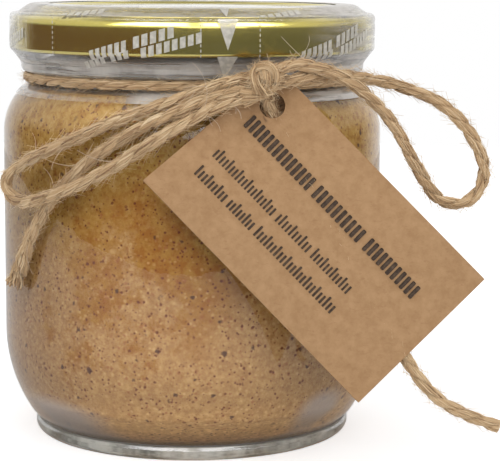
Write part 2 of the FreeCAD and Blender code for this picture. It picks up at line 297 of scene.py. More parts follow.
    def surface(self, colour: object, roughness: object, **more: object) -> bpy.types.NodeSocket:
        """A Principled shader.

        Args:
            colour: its base colour.
            roughness: its roughness.
            more: its other inputs, by name with underscores for spaces.

        Returns:
            The shader's socket.
        """
        made = self.node("BsdfPrincipled", {"Base Color": colour, "Roughness": roughness})
        for key, value in more.items():
            self.feed(made.inputs[key.replace("_", " ")], value)
        return made.outputs[0]

    def join(self, factor: object, first: bpy.types.NodeSocket,
             second: bpy.types.NodeSocket) -> bpy.types.NodeSocket:
        """Mix two shaders.

        Args:
            factor: how much of the second.
            first, second: the shaders.

        Returns:
            The mixed shader's socket.
        """
        made = self.tree.nodes.new("ShaderNodeMixShader")
        self.feed(made.inputs[0], factor)
        self.feed(made.inputs[1], first)
        self.feed(made.inputs[2], second)
        return made.outputs[0]

    def done(self, shader: bpy.types.NodeSocket) -> bpy.types.Material:
        """Show a shader and return the material."""
        self.tree.links.new(shader, self.output.inputs["Surface"])
        return self.material


@dataclass(frozen=True)
class ClearGlass:
    """Flint glass that lets lamplight through to what it holds, stippled under its foot."""

    tint: Colour = (0.97, 0.975, 0.97)
    shade: Colour = (0.93, 0.93, 0.92)
    stipple: Colour = linear(200, 203, 197)
    shadowed: Colour = linear(92, 97, 88)
    painted_groove_shade: Colour = linear(66, 58, 48)
    ior: float = 1.5

    def material(self) -> bpy.types.Material:
        """Build the glass, with the faint ripple of a moulded wall."""
        graph = Graph("clear_glass")
        ripple = graph.bump(graph.noise(90.0, 2.0), 0.00012, 0.35)
        glass = graph.surface(self.tint, 0.0, IOR=self.ior, Transmission_Weight=1.0,
                              Normal=ripple)
        knurl = graph.bump(graph.cells(900.0), 0.0003, 0.6)
        # The sole's streaks run from painted shade, the shadowed colour, up to the stipple's own
        # pale grey.
        streaks = graph.noise(120.0, 4.0, 0.65, graph.stretched((1.0, 1.0, 6.0)))
        sole = graph.surface(graph.ramp(streaks, [(0.34, self.shadowed), (0.60, self.stipple)]),
                             0.4, Normal=knurl)
        under = graph.maths("MULTIPLY", graph.attribute("sole"),
                            graph.step(streaks, 0.30, 0.60, 0.75, 0.95))
        glass = graph.join(under, glass, sole)
        # Painted shade: the groove above the foot is darkened where it shows dark.
        painted_groove_shade = graph.surface(self.painted_groove_shade, 0.3)
        glass = graph.join(graph.maths("MULTIPLY", graph.attribute("painted_groove_shade"), 0.75), glass, painted_groove_shade)
        path = graph.node("LightPath").outputs["Is Shadow Ray"]
        open_way = graph.node("BsdfTransparent", {"Color": self.shade}).outputs[0]
        return graph.done(graph.join(path, glass, open_way))


@dataclass(frozen=True)
class HazelnutButter:
    """Ground hazelnuts: oily and golden above, paler and grainier below, with dark specks."""

    level: float
    golden: Colour = linear(168, 131, 62)
    amber: Colour = linear(138, 88, 28)
    honey: Colour = linear(184, 150, 90)
    pale: Colour = linear(143, 104, 62)
    pasty: Colour = linear(163, 126, 80)
    crumb: Colour = linear(220, 190, 136)
    skin: Colour = linear(136, 76, 44)
    speck: Colour = linear(98, 46, 28)
    clot: Colour = linear(74, 44, 36)
    lit: Colour = linear(181, 147, 97)
    heel: Colour = (1.46, 1.46, 1.46)
    dim: Colour = (0.74, 0.73, 0.74)
    painted_gap_reflection: Colour = linear(174, 160, 150)

    def grains(self, graph: Graph, density: float, reach: float, low: float,
               high: float) -> bpy.types.NodeSocket:
        """Ragged grains that gather in places.

        Args:
            graph: the material's graph.
            density: how many cells there are in each metre.
            reach: the grains' radius as a share of a cell.
            low, high: where the noise that gathers them starts and is full.

        Returns:
            A mask from 0 to 1.
        """
        ragged = graph.maths("MULTIPLY_ADD", graph.noise(1500.0, 2.0), reach * 1.6, -reach * 0.8)
        away = graph.maths("ADD", graph.cells(density), ragged)
        dots = graph.step(away, reach * 0.6, reach * 1.2, 1.0, 0.0)
        return graph.maths("MULTIPLY", dots, graph.step(graph.noise(110.0, 2.0), low, high))

    def material(self) -> bpy.types.Material:
        """Build the paste's colours, grain and specks, and the shade and light painted on it."""
        graph = Graph("nut_butter")
        axes = graph.node("SeparateXYZ", {"Vector": graph.place()}).outputs
        wander = graph.maths("MULTIPLY_ADD", graph.noise(60.0, 8.0, 0.75), 0.100, -0.050)
        height = graph.maths("ADD", axes["Z"], wander)
        oily = graph.step(height, self.level - 0.044, self.level - 0.024)
        across = graph.maths("MULTIPLY_ADD", graph.maths("ADD", axes["X"], 0.005), 1.1, wander)
        middle = graph.maths("SUBTRACT", height, self.level - 0.033)
        away = graph.maths("SQRT", graph.maths(
            "ADD", graph.maths("MULTIPLY", across, across),
            graph.maths("MULTIPLY", middle, middle)))
        patch = graph.step(away, 0.012, 0.026, 0.9, 0.0)
        lower = graph.ramp(graph.noise(750.0, 4.0, 0.75),
                           [(0.30, self.pale), (0.50, self.pasty), (0.68, self.lit)])
        upper = graph.ramp(graph.noise(520.0, 5.0, 0.75),
                           [(0.32, self.amber), (0.50, self.golden), (0.66, self.honey)])
        colour = graph.blend(oily, lower, upper)
        rich = graph.ramp(graph.noise(500.0, 5.0, 0.75),
                          [(0.42, self.amber), (0.78, self.golden)])
        colour = graph.blend(patch, colour, rich)
        crumbs = graph.maths("MULTIPLY", self.grains(graph, 700.0, 0.26, 0.30, 0.45),
                             graph.step(oily, 0.0, 1.0, 0.26, 0.10))
        colour = graph.blend(crumbs, colour, self.crumb)
        crumbs = graph.maths("MULTIPLY", self.grains(graph, 330.0, 0.22, 0.45, 0.60),
                             graph.step(oily, 0.0, 1.0, 0.22, 0.0))
        colour = graph.blend(crumbs, colour, self.crumb)
        colour = graph.blend(graph.maths(
            "MULTIPLY", self.grains(graph, 520.0, 0.22, 0.36, 0.50), 0.5), colour, self.skin)
        for density, reach, dark in ((900.0, 0.17, self.speck), (620.0, 0.17, self.speck),
                                     (410.0, 0.15, self.speck),
                                     (230.0, 0.12, self.clot), (120.0, 0.09, self.clot)):
            dots = graph.maths("MULTIPLY", self.grains(graph, density, reach, 0.30, 0.46), 0.88)
            colour = graph.blend(dots, colour, dark)
        # Painted shade: the left front of the filling is darkened by about a quarter.
        left = graph.maths("MULTIPLY", graph.step(axes["X"], -0.016, -0.036, 0.0, 0.85),
                           graph.step(axes["Y"], 0.005, -0.005))
        colour = graph.blend(left, colour, self.dim, "MULTIPLY")
        # Painted light: the colour is lightened below about 16 mm, and more below about 10 mm, where
        # the filling faces the floor.
        foot = graph.step(axes["Z"], 0.0065, 0.0165, 1.0, 0.0)
        colour = graph.blend(foot, colour, self.heel, "MULTIPLY")
        rim = graph.step(axes["Z"], 0.0066, 0.0102, 1.0, 0.0)
        colour = graph.blend(rim, colour, self.heel, "MULTIPLY")
        # Painted reflection: where the filling hardly touches the glass, its colour is greyed like
        # the glass's reflection at the gap.
        colour = graph.blend(graph.attribute("thin"), colour, self.painted_gap_reflection)
        relief = graph.bump(graph.noise(520.0, 4.0, 0.6), 0.0004, 0.4)
        return graph.done(graph.surface(colour, 0.55, Normal=relief, Specular_IOR_Level=0.15))


@dataclass(frozen=True)
class GoldLacquer:
    """Tinplate under a glossy gold lacquer."""

    gold: Colour = linear(212, 198, 98)
    worn: Colour = linear(202, 185, 88)

    def material(self) -> bpy.types.Material:
        """Build the lacquer, with a faint rolling grain."""
        graph = Graph("gold_tinplate")
        cloud = graph.noise(60.0, 3.0)
        grain = graph.noise(700.0, 2.0, vector=graph.stretched((1.0, 1.0, 12.0)))
        rough = graph.step(grain, 0.3, 0.7, 0.12, 0.20)
        return graph.done(graph.surface(
            graph.blend(cloud, self.gold, self.worn), rough, Metallic=1.0,
            Coat_Weight=1.0, Coat_Roughness=0.08,
            Normal=graph.bump(graph.noise(120.0, 2.0), 0.0001, 0.25)))


@dataclass(frozen=True)
class ClearFilm:
    """Thin clear shrink film with its glare, a light milkiness and painted glare in places."""

    haze_and_glare: Colour = linear(194, 188, 180)

    def material(self) -> bpy.types.Material:
        """Build the film; the mesh says how milky it is, partly the film's own and partly painted
        glare.
        """
        graph = Graph("clear_film")
        folds = graph.noise(170.0, 4.0, 0.60, graph.stretched((1.0, 1.0, 0.30)))
        wrinkle = graph.bump(folds, 0.0007, 0.6)
        edge = graph.node("Fresnel", {"IOR": 1.45, "Normal": wrinkle}).outputs[0]
        glare = graph.node("BsdfGlossy", {
            "Color": (1.0, 1.0, 1.0), "Roughness": 0.08, "Normal": wrinkle}).outputs[0]
        outer = graph.maths("SUBTRACT", 1.0, graph.node("NewGeometry").outputs["Backfacing"])
        clear = graph.join(graph.maths("MULTIPLY", edge, outer),
                           graph.node("BsdfTransparent").outputs[0], glare)
        lines = graph.noise(260.0, 3.0, 0.6, graph.stretched((0.25, 0.25, 3.5)))
        # The mesh's milkiness is partly the film's own and partly painted glare.
        cloud = graph.maths("MULTIPLY", graph.attribute("haze_and_glare"),
                            graph.step(folds, 0.34, 0.66, 0.78, 1.10))
        cloud = graph.maths("MULTIPLY", cloud, graph.step(lines, 0.40, 0.58, 0.50, 1.20),
                            clamp=True)
        milky = graph.surface(self.haze_and_glare, 0.3, Normal=wrinkle)
        return graph.done(graph.join(cloud, clear, milky))


@dataclass(frozen=True)
class WhiteInk:
    """Thin white print on film, which the light comes partly through."""

    ink: Colour = linear(214, 210, 200)

    def material(self) -> bpy.types.Material:
        """Build the ink, a little thinner in places."""
        graph = Graph("white_ink")
        thin = graph.step(graph.noise(900.0, 2.0), 0.35, 0.7, 0.62, 0.85)
        solid = graph.surface(self.ink, 0.3)
        clear = graph.node("BsdfTransparent").outputs[0]
        return graph.done(graph.join(thin, clear, solid))


@dataclass(frozen=True)
class Jute:
    """Two-ply jute: pale and darker fibres side by side."""

    dark: Colour = linear(144, 112, 80)
    mid: Colour = linear(198, 167, 127)
    light: Colour = linear(227, 204, 167)

    def material(self) -> bpy.types.Material:
        """Build the fibres' colours from the tone that each of them carries."""
        graph = Graph("jute_twine")
        tone = graph.maths("ADD", graph.attribute("tone"),
                           graph.maths("MULTIPLY_ADD", graph.noise(300.0, 2.0), 0.5, -0.25))
        colour = graph.ramp(tone, [(0.05, self.dark), (0.5, self.mid), (0.95, self.light)])
        return graph.done(graph.surface(
            colour, 0.8, Specular_IOR_Level=0.25, Sheen_Weight=0.15, Sheen_Roughness=0.5))


@dataclass(frozen=True)
class KraftCard:
    """Brown kraft card with fine fibres."""

    brown: Colour = linear(162, 126, 89)
    tan: Colour = linear(178, 142, 104)
    fibre: Colour = linear(150, 112, 78)

    def material(self) -> bpy.types.Material:
        """Build the card's mottle and its scattered fibres."""
        graph = Graph("kraft_card")
        mottle = graph.noise(420.0, 4.0, 0.65)
        colour = graph.ramp(mottle, [(0.32, self.brown), (0.66, self.tan)])
        strands = graph.noise(1500.0, 3.0, 0.7, graph.stretched((0.35, 1.0, 1.0), 0.6))
        colour = graph.blend(graph.step(strands, 0.56, 0.70, 0.0, 0.35), colour, self.fibre)
        flecks = graph.noise(1300.0, 2.0, 0.6)
        colour = graph.blend(graph.step(flecks, 0.66, 0.74, 0.0, 0.45), colour, self.tan)
        return graph.done(graph.surface(
            colour, 0.85, Specular_IOR_Level=0.2, Normal=graph.bump(mottle, 0.00012, 0.5)))


@dataclass(frozen=True)
class DarkInk:
    """Matt dark print on kraft card."""

    ink: Colour = linear(66, 54, 46)
    worn: Colour = linear(96, 80, 66)

    def material(self) -> bpy.types.Material:
        """Build the ink, with the card's fibres showing faintly."""
        graph = Graph("dark_ink")
        colour = graph.ramp(graph.noise(900.0, 3.0, 0.7), [(0.40, self.ink), (0.72, self.worn)])
        return graph.done(graph.surface(colour, 0.8, Specular_IOR_Level=0.2))


# -------------------------------------------------------------------------------- mesh making


def clear_selection() -> None:
    """Deselect every object."""
    bpy.ops.object.select_all(action="DESELECT")


def smooth(piece: bpy.types.Object, degrees: float = 40.0) -> None:
    """Shade a piece smooth, but for edges sharper than an angle."""
    clear_selection()
    piece.select_set(True)
    bpy.context.view_layer.objects.active = piece
    bpy.ops.object.shade_smooth_by_angle(angle=math.radians(degrees))


def named(piece: bpy.types.Object, name: str) -> bpy.types.Object:
    """Name a piece and its mesh alike, and return it."""
    piece.name = name
    piece.data.name = name
    return piece


def swell(wall: float, wall_height: float, end: float, end_height: float,
          way: Way, steps: int = 14) -> Outline:
    """An arc that leaves an upright wall smoothly and ends further in.

    Args:
        wall, wall_height: the radius of the wall and where the arc leaves it.
        end, end_height: where the arc ends.
        way: OUT walks from the end to the wall, BACK from the wall to the end.
        steps: how many stretches the arc has.

    Returns:
        The arc's points, both ends included.
    """
    across = wall - end
    along = end_height - wall_height
    reach = (across ** 2 + along ** 2) / (2 * across)
    span = math.asin(min(1.0, abs(along) / reach))
    if across > reach:
        span = math.pi - span
    rise = math.copysign(1.0, along)
    points = [(wall - reach + reach * math.cos(span * index / steps),
               wall_height + rise * reach * math.sin(span * index / steps))
              for index in range(steps + 1)]
    return points if way is Way.BACK else points[::-1]


def softened(outline: Outline, reach: float, steps: int = 4, turn: float = 14.0) -> Outline:
    """Round the sharp corners of an outline.

    Args:
        outline: radii and heights.
        reach: how far from a corner its rounding starts.
        steps: how many stretches each rounding has.
        turn: the smallest turn that is rounded, in degrees.

    Returns:
        The outline with its corners rounded.
    """
    outline = [here for before, here in zip([(-1.0, 0.0)] + outline, outline)
               if math.dist(before, here) > 1e-6]
    rounded = [outline[0]]
    for before, here, after in zip(outline, outline[1:], outline[2:]):
        corner = Vector(here)
        back = Vector(before) - corner
        ahead = Vector(after) - corner
        if math.degrees(math.pi - back.angle(ahead)) < turn:
            rounded.append(here)
            continue
        back = back.normalized() * min(reach, back.length * 0.45)
        ahead = ahead.normalized() * min(reach, ahead.length * 0.45)
        for index in range(steps + 1):
            share = index / steps
            rounded.append(tuple(corner + back * (1 - share) ** 2 + ahead * share ** 2))
    return rounded + [outline[-1]]


def turned(name: str, outline: Outline, segments: int = 176) -> bpy.types.Object:
    """Turn an outline about the upright axis, by drawing out one ring again and again.

    Args:
        name: the piece's name.
        outline: radii and heights; a closed outline ends where it starts, and an open one
            starts and ends on the axis.
        segments: how many sides the rings have.

    Returns:
        The closed piece, shaded smooth.
    """
    on_axis = outline[0][0] < 1e-6
    rings = outline[1:-1] if on_axis else outline[:-1]
    radius, height = rings[0]
    clear_selection()
    bpy.ops.mesh.primitive_circle_add(
        vertices=segments, radius=radius, fill_type="TRIFAN" if on_axis else "NOTHING")
    piece = named(bpy.context.object, name)
    bpy.ops.object.mode_set(mode="EDIT")
    bpy.ops.mesh.select_all(action="SELECT")
    bpy.ops.transform.translate(value=(0.0, 0.0, height))
    bpy.ops.mesh.select_mode(type="EDGE")
    if on_axis:
        bpy.ops.mesh.region_to_loop()
    for wider, higher in rings[1:]:
        bpy.ops.mesh.extrude_edges_move(
            TRANSFORM_OT_translate={"value": (0.0, 0.0, higher - height)})
        share = wider / radius
        bpy.ops.transform.resize(value=(share, share, 1.0), center_override=(0.0, 0.0, 0.0))
        radius, height = wider, higher
    if on_axis:
        bpy.ops.mesh.extrude_edges_move(
            TRANSFORM_OT_translate={"value": (0.0, 0.0, outline[-1][1] - height)})
        bpy.ops.mesh.merge(type="CENTER")
    else:
        bpy.ops.mesh.select_all(action="DESELECT")
        bpy.ops.mesh.select_non_manifold()
        bpy.ops.mesh.bridge_edge_loops()
    bpy.ops.mesh.select_all(action="SELECT")
    bpy.ops.mesh.remove_doubles(threshold=1e-7)
    bpy.ops.mesh.normals_make_consistent(inside=False)
    bpy.ops.object.mode_set(mode="OBJECT")
    smooth(piece)
    return piece


def offset_outline(outline: Outline, out: float) -> Outline:
    """Move an open outline to its right-hand side, the outside of one that climbs inwards.

    Args:
        outline: radii and heights.
        out: how far, negative for the other side.

    Returns:
        The moved outline.
    """
    points = np.array(outline)
    along = np.gradient(points, axis=0)
    along /= np.linalg.norm(along, axis=1, keepdims=True)
    return [tuple(point) for point in points + out * np.stack([along[:, 1], -along[:, 0]], 1)]


def give_number(piece: bpy.types.Object, name: str, values: np.ndarray) -> None:
    """Store a number at each of a mesh's points.

    Args:
        piece: the mesh object.
        name: the attribute's name.
        values: one number for each point.
    """
    store = piece.data.attributes.new(name, "FLOAT", "POINT")
    store.data.foreach_set("value", np.asarray(values, dtype=np.float32))


def points_of(piece: bpy.types.Object) -> np.ndarray:
    """A mesh's points as rows of three numbers."""
    flat = np.empty(len(piece.data.vertices) * 3, dtype=np.float32)
    piece.data.vertices.foreach_get("co", flat)
    return flat.reshape(-1, 3)


def finished(piece: bpy.types.Object, material: bpy.types.Material, slot: str,
             *nodes: str) -> bpy.types.Object:
    """Dress a piece, let it ride on the jar and hide the parts that it replaces.

    Args:
        piece: the finished mesh.
        material: its finish.
        slot: not used.
        nodes: the frame's parts that it replaces.

    Returns:
        The piece.
    """
    piece.data.materials.clear()
    piece.data.materials.append(material)
    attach(piece, "root")
    if nodes:
        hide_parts(*nodes)
    LOG.info("%s: %d faces", piece.name, len(piece.data.polygons))
    return piece


# ------------------------------------------------------------------------------------ the jar


@dataclass
class Jar:
    """The glass and what it holds. Radii are from the axis, heights from the foot's sole."""

    foot: float = 0.0370
    foot_round: float = 0.0016
    sole: float = 0.0317
    pushup: float = 0.0022
    groove: float = 0.0363
    groove_height: float = 0.0033
    heel: float = 0.0382
    heel_height: float = 0.0052
    side_low: float = 0.0240
    side_high: float = 0.0700
    shoulder: float = 0.0398
    shoulder_height: float = 0.0800
    neck: float = 0.0366
    neck_low: float = 0.0814
    neck_high: float = 0.0834
    bead: float = 0.0395
    bead_low: float = 0.0844
    bead_high: float = 0.0862
    finish: float = 0.0388
    rim: float = 0.0373
    rim_slope: float = 0.0027
    wall: float = 0.0025
    floor: float = 0.0300
    floor_height: float = 0.0070
    inner_heel: float = 0.0365
    inner_heel_height: float = 0.0098
    inner_shoulder: float = 0.0380
    inner_shoulder_height: float = 0.0783
    inner_neck: float = 0.0345
    mouth: float = 0.0356
    bite: float = 0.00015
    body: float = field(init=False)
    top: float = field(init=False)
    level: float = field(init=False)

    def __post_init__(self) -> None:
        """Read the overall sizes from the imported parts."""
        low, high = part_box("glass_jar")
        self.body = (high[0] - low[0]) / 2
        self.top = high[2]
        self.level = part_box("hazelnut_butter")[1][2]

    def outside(self) -> Outline:
        """The glass's outer outline, from the middle of the push-up to the rim."""
        foot = [(0.0, self.pushup), (self.sole - self.pushup, self.pushup), (self.sole, 0.0),
                (self.foot - self.foot_round, 0.0)]
        foot += swell(self.foot, self.foot_round, self.foot - self.foot_round, 0.0, Way.OUT, 6)
        foot += [(self.foot, self.foot_round + 0.0008), (self.groove, self.groove_height)]
        side = swell(self.body, self.side_low, self.heel, self.heel_height, Way.OUT)
        side += swell(self.body, self.side_high, self.shoulder, self.shoulder_height, Way.BACK)
        neck = [(self.neck, self.neck_low), (self.neck, self.neck_high),
                (self.bead, self.bead_low), (self.bead, self.bead_high),
                (self.finish, self.bead_high + 0.0007),
                (self.finish, self.top - self.rim_slope), (self.rim, self.top)]
        return softened(foot + side + neck, 0.0007)

    def inside(self, bite: float = 0.0) -> Outline:
        """The hollow's outline, from the rim down to the floor's middle.

        Args:
            bite: how far it reaches into the wall.
        """
        bore = self.body - self.wall + bite
        neck = [(self.mouth + bite, self.top), (self.mouth + bite, self.bead_high),
                (self.inner_neck + bite, self.neck_high),
                (self.inner_neck + bite, self.neck_low)]
        side = swell(bore, self.side_high, self.inner_shoulder + bite,
                     self.inner_shoulder_height, Way.OUT)
        side += swell(bore, self.side_low, self.inner_heel + bite,
                      self.inner_heel_height - bite, Way.BACK)
        floor = [(self.floor, self.floor_height - bite), (0.0, self.floor_height - bite)]
        return softened(neck + side, 0.0008) + floor

    def build_glass(self) -> bpy.types.Object:
        """Turn the glass and dress it."""
        piece = turned("jar_glass", self.outside() + self.inside())
        points = points_of(piece)
        flat = np.hypot(points[:, 0], points[:, 1]) < self.foot - 0.0008
        give_number(piece, "sole", (points[:, 2] < self.pushup + 0.0002) & flat)
        # Mark a ring of points along the groove above the foot for painted shade.
        inward = np.abs(points[:, 2] - self.groove_height - 0.0002) / 0.0005
        give_number(piece, "painted_groove_shade", np.clip(1.3 - inward, 0.0, 1.0)
                    * (np.hypot(points[:, 0], points[:, 1]) > self.groove - 0.0005))
        return finished(piece, ClearGlass().material(), "clear_glass", "glass_jar")

    def build_butter(self) -> bpy.types.Object:
        """Turn the filling up to its level, with a slightly uneven top, and dress it."""
        below = [point for point in self.inside(self.bite) if point[1] < self.level - 0.0004]
        edge = (below[0][0] - 0.0004, self.level - 0.0001)
        top = [(0.0, self.level - 0.0006)]
        top += [(edge[0] * share, self.level - 0.0006) for share in (0.2, 0.4, 0.6, 0.8, 0.92)]
        piece = turned("nut_butter", top + [edge] + below)
        # The bare patches are real; the grey that they give the colour is painted reflection.
        give_number(piece, "thin", self.bare_patch_reflection(piece))
        return finished(piece, HazelnutButter(self.level).material(), "nut_butter",
                        "hazelnut_butter")

    def bare_patch_reflection(self, piece: bpy.types.Object) -> np.ndarray:
        """Painted reflection's share at each point, where the filling hardly touches the glass's
        heel.
        """
        points = points_of(piece)
        angle = np.degrees(np.arctan2(points[:, 0], -points[:, 1]))
        height = points[:, 2] / MM
        share = np.zeros(len(points))
        for middle, wide, level, tall in ((-52.0, 19.0, 8.2, 3.6), (47.5, 9.0, 10.4, 3.8),
                                          (140.0, 24.0, 9.0, 4.0)):
            away = np.hypot((angle - middle) / wide, (height - level) / tall)
            share = np.maximum(share, np.clip(1.6 - 1.2 * away, 0.0, 0.85))
        return share


@dataclass
class Lid:
    """The gold lid: a panel, a raised ring, a ledge, a skirt and its rolled hem."""

    ring: float = 0.0376
    ring_width: float = 0.0056
    panel_drop: float = 0.0005
    ledge: float = 0.0404
    ledge_drop: float = 0.0020
    wall: float = 0.0003
    curl: float = 0.0018
    corner: float = 0.0022
    skirt: float = field(init=False)
    low: float = field(init=False)
    top: float = field(init=False)

    def __post_init__(self) -> None:
        """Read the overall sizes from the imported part."""
        low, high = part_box("lid")
        self.skirt = (high[0] - low[0]) / 2
        self.low = low[2]
        self.top = high[2]

    def face(self) -> Outline:
        """The lid's shown face, from the middle out and down to the hem."""
        ledge = self.top - self.ledge_drop
        curl = self.curl / 2
        points = [(0.0, self.top - self.panel_drop),
                  (self.ring - self.ring_width, self.top - self.panel_drop),
                  (self.ring - self.ring_width + self.panel_drop, self.top),
                  (self.ring, self.top), (self.ledge, ledge)]
        points += swell(self.skirt, ledge - self.corner, self.skirt - self.corner, ledge,
                        Way.OUT, 8)
        points += [(self.skirt - curl + curl * math.cos(turn),
                    self.low + curl - curl * math.sin(turn))
                   for turn in np.linspace(0.0, math.pi, 13)]
        return points

    def build(self) -> bpy.types.Object:
        """Turn the lid and dress it."""
        face = softened(self.face(), 0.0006)
        ledge = self.top - self.ledge_drop
        back = [(self.skirt - self.curl, self.low + self.curl - self.wall),
                (self.skirt - self.wall, self.low + self.curl),
                (self.skirt - self.wall, ledge - self.corner),
                (self.skirt - self.corner, ledge - self.wall),
                (self.ledge - self.wall, ledge - self.wall),
                (self.ring - self.wall / 2, self.top - self.wall),
                (self.ring - self.ring_width + self.panel_drop, self.top - self.wall),
                (self.ring - self.ring_width, self.top - self.panel_drop - self.wall),
                (0.0, self.top - self.panel_drop - self.wall)]
        piece = turned("gold_lid", face + back)
        return finished(piece, GoldLacquer().material(), "gold_tinplate", "lid")


@dataclass(frozen=True)
class PrintWord:
    """A slanting row of plain upright bars on the film, measured round it and down it."""

    start: float
    start_down: float
    end: float
    end_down: float
    height: float
    count: int
    filled: float = 0.70

    def bars(self, shift: float) -> list[list[tuple[float, float]]]:
        """The bars' corners.

        Args:
            shift: how far round the film the row is moved.
        """
        step = (self.end - self.start) / self.count
        fall = (self.end_down - self.start_down) / (self.end - self.start)
        shapes = []
        for number in range(self.count):
            near = self.start + step * (number + 0.5 - self.filled / 2)
            far = near + step * self.filled
            low, high = (self.start_down + fall * (at - self.start) for at in (near, far))
            shapes.append([(near + shift, low), (far + shift, high),
                           (far + shift, high - self.height), (near + shift, low - self.height)])
        return shapes


@dataclass
class SecurityBand:
    """The clear band shrunk over the lid's edge and the neck, with its plain white print."""

    jar: Jar
    lid: Lid
    gap: float = 0.0001
    wall: float = 0.0001
    reach: float = 0.0043
    pitch: float = 0.0478

    def path(self) -> Outline:
        """The film's inner line, from its edge on the lid down to the shoulder."""
        jar, lid = self.jar, self.lid
        ledge = lid.top - lid.ledge_drop
        half = lid.curl / 2
        corners = [
            (lid.ring - self.reach, lid.top), (lid.ring, lid.top), (lid.ledge, ledge),
            (lid.skirt - 0.0005, ledge), (lid.skirt, ledge - 0.0005),
            (lid.skirt, lid.low + half * 0.6), (lid.skirt - half * 0.6, lid.low),
            (jar.bead, jar.bead_high), (jar.bead, jar.bead_low), (jar.neck, jar.neck_high),
            (jar.neck, jar.neck_low)]
        slope = swell(jar.body, jar.side_high, jar.shoulder, jar.shoulder_height, Way.OUT, 28)
        return softened(corners + slope[:5], 0.0008)

    def along(self) -> np.ndarray:
        """How far down the film each point of its outer line is from the skirt's top."""
        points = np.array(self.outer())
        runs = np.r_[0.0, np.cumsum(np.linalg.norm(np.diff(points, axis=0), axis=1))]
        ledge = self.lid.top - self.lid.ledge_drop
        return runs - np.interp(-ledge, -points[:, 1], runs)

    def outer(self) -> Outline:
        """The film's outer line."""
        return offset_outline(self.path(), -(self.gap + self.wall))

    def on_film(self, angle: float, down: float) -> Vector:
        """A point just off the film.

        Args:
            angle: the angle about the axis from the front, in radians, positive to the right.
            down: how far it is down the film from the skirt's top, in metres.

        Returns:
            The point.
        """
        points = np.array(offset_outline(self.path(), -(self.gap + self.wall + 0.00003)))
        runs = self.along()
        radius = float(np.interp(down, runs, points[:, 0]))
        height = float(np.interp(down, runs, points[:, 1]))
        return Vector((radius * math.sin(angle), -radius * math.cos(angle), height))

    def build(self) -> list[bpy.types.Object]:
        """Turn the film, say where it is hazy and where glare is painted on it, and lay the print on
        it.
        """
        inner = offset_outline(self.path(), -self.gap)
        outer = self.outer()
        piece = turned("clear_band", inner + outer[::-1] + inner[:1])
        points = points_of(piece)
        height = points[:, 2]
        angle = np.degrees(np.arctan2(points[:, 0], -points[:, 1]))
        haze_and_glare = 0.015 + 0.30 * np.clip((-angle - 58.0) / 12.0, 0.0, 1.0)
        haze_and_glare += 0.50 * np.clip((angle - 34.0) / 25.0, 0.0, 1.0)
        neck = np.clip((self.lid.low - height) / 0.0008, 0.0, 1.0)
        low = np.clip((self.jar.neck_low + 0.0004 - height) / 0.0008, 0.0, 1.0)
        bright = np.clip((angle + 8.0) / 16.0, 0.0, 1.0)
        # Painted glare: on the shoulder the film is milkier in a narrow band a little left of the
        # front; it is also milkier from the front round to the right.
        glare = np.clip(1.6 - np.abs(angle + 12.0) / 6.0, 0.0, 1.0)
        haze_and_glare += 0.60 * neck * (1.0 - low) + low * (0.20 + 0.46 * bright + 0.7 * glare)
        haze_and_glare += 0.50 * (height > self.lid.top - self.lid.ledge_drop + 0.0002)
        outward = np.arange(len(points)) >= len(inner) * (len(points) // (2 * len(inner)))
        give_number(piece, "haze_and_glare", haze_and_glare * outward)
        film = finished(piece, ClearFilm().material(), "clear_film", "security_band")
        return [film, self.build_print()]

    def marks(self) -> list[list[tuple[float, float]]]:
        """The print's plain shapes, each a list of corners: how far round, how far down."""
        across = self.lid.skirt
        words = (
            PrintWord(-0.0234, 0.0099, -0.0141, 0.0073, 0.0025, 6),
            PrintWord(-0.0130, 0.0068, -0.0037, 0.0041, 0.0025, 5),
            PrintWord(-0.0258, 0.0123, -0.0196, 0.0104, 0.0019, 4),
            PrintWord(-0.0185, 0.0101, -0.0136, 0.0088, 0.0019, 3),
            PrintWord(-0.0113, 0.0089, 0.0021, 0.0052, 0.0023, 8),
            PrintWord(-0.0328, -0.0002, -0.0210, -0.0024, 0.0016, 6),
        )
        shapes = []
        for group in range(-2, 3):
            for word in words:
                shapes += word.bars(group * self.pitch)
        for degrees in (10.1, 190.0):
            middle = across * math.radians(degrees)
            for down in (-0.0078, 0.0002, 0.0082):
                shapes.append([(middle - 0.00225, down), (middle + 0.00225, down),
                               (middle, down + 0.0067)])
        for degrees in (-45.8, 2.3, 19.7, 182.0, 199.0):
            middle = across * math.radians(degrees)
            for count in range(9):
                down = -0.0010 + 0.0011 * count
                shapes.append([(middle - 0.00012, down), (middle + 0.00012, down),
                               (middle + 0.00012, down + 0.0006),
                               (middle - 0.00012, down + 0.0006)])
        return shapes

    def build_print(self) -> bpy.types.Object:
        """Lay the plain shapes on the film as thin ink."""
        across = self.lid.skirt
        points: list[Vector] = []
        faces: list[list[int]] = []
        steps = 4
        for shape in self.marks():
            base = len(points)
            low, high = Vector(shape[0]), Vector(shape[1])
            far_low = Vector(shape[-1])
            far_high = Vector(shape[-2]) if len(shape) == 4 else far_low
            for row in range(steps + 1):
                near = low.lerp(far_low, row / steps)
                far = high.lerp(far_high, row / steps)
                for spot in (near, near.lerp(far, 0.5), far):
                    points.append(self.on_film(spot.x / across, spot.y))
            for row in range(steps):
                for column in range(2):
                    corner = base + row * 3 + column
                    faces.append([corner, corner + 1, corner + 4, corner + 3])
        mesh = bpy.data.meshes.new("band_print")
        mesh.from_pydata(points, [], faces)
        piece = bpy.data.objects.new("band_print", mesh)
        bpy.context.collection.objects.link(piece)
        clear_selection()
        piece.select_set(True)
        bpy.context.view_layer.objects.active = piece
        bpy.ops.object.mode_set(mode="EDIT")
        bpy.ops.mesh.select_all(action="SELECT")
        bpy.ops.mesh.remove_doubles(threshold=1e-6)
        bpy.ops.mesh.normals_make_consistent(inside=False)
        bpy.ops.object.mode_set(mode="OBJECT")
        smooth(piece)
        return finished(piece, WhiteInk().material(), "clear_film")


# ------------------------------------------------------------------------------------ the bow

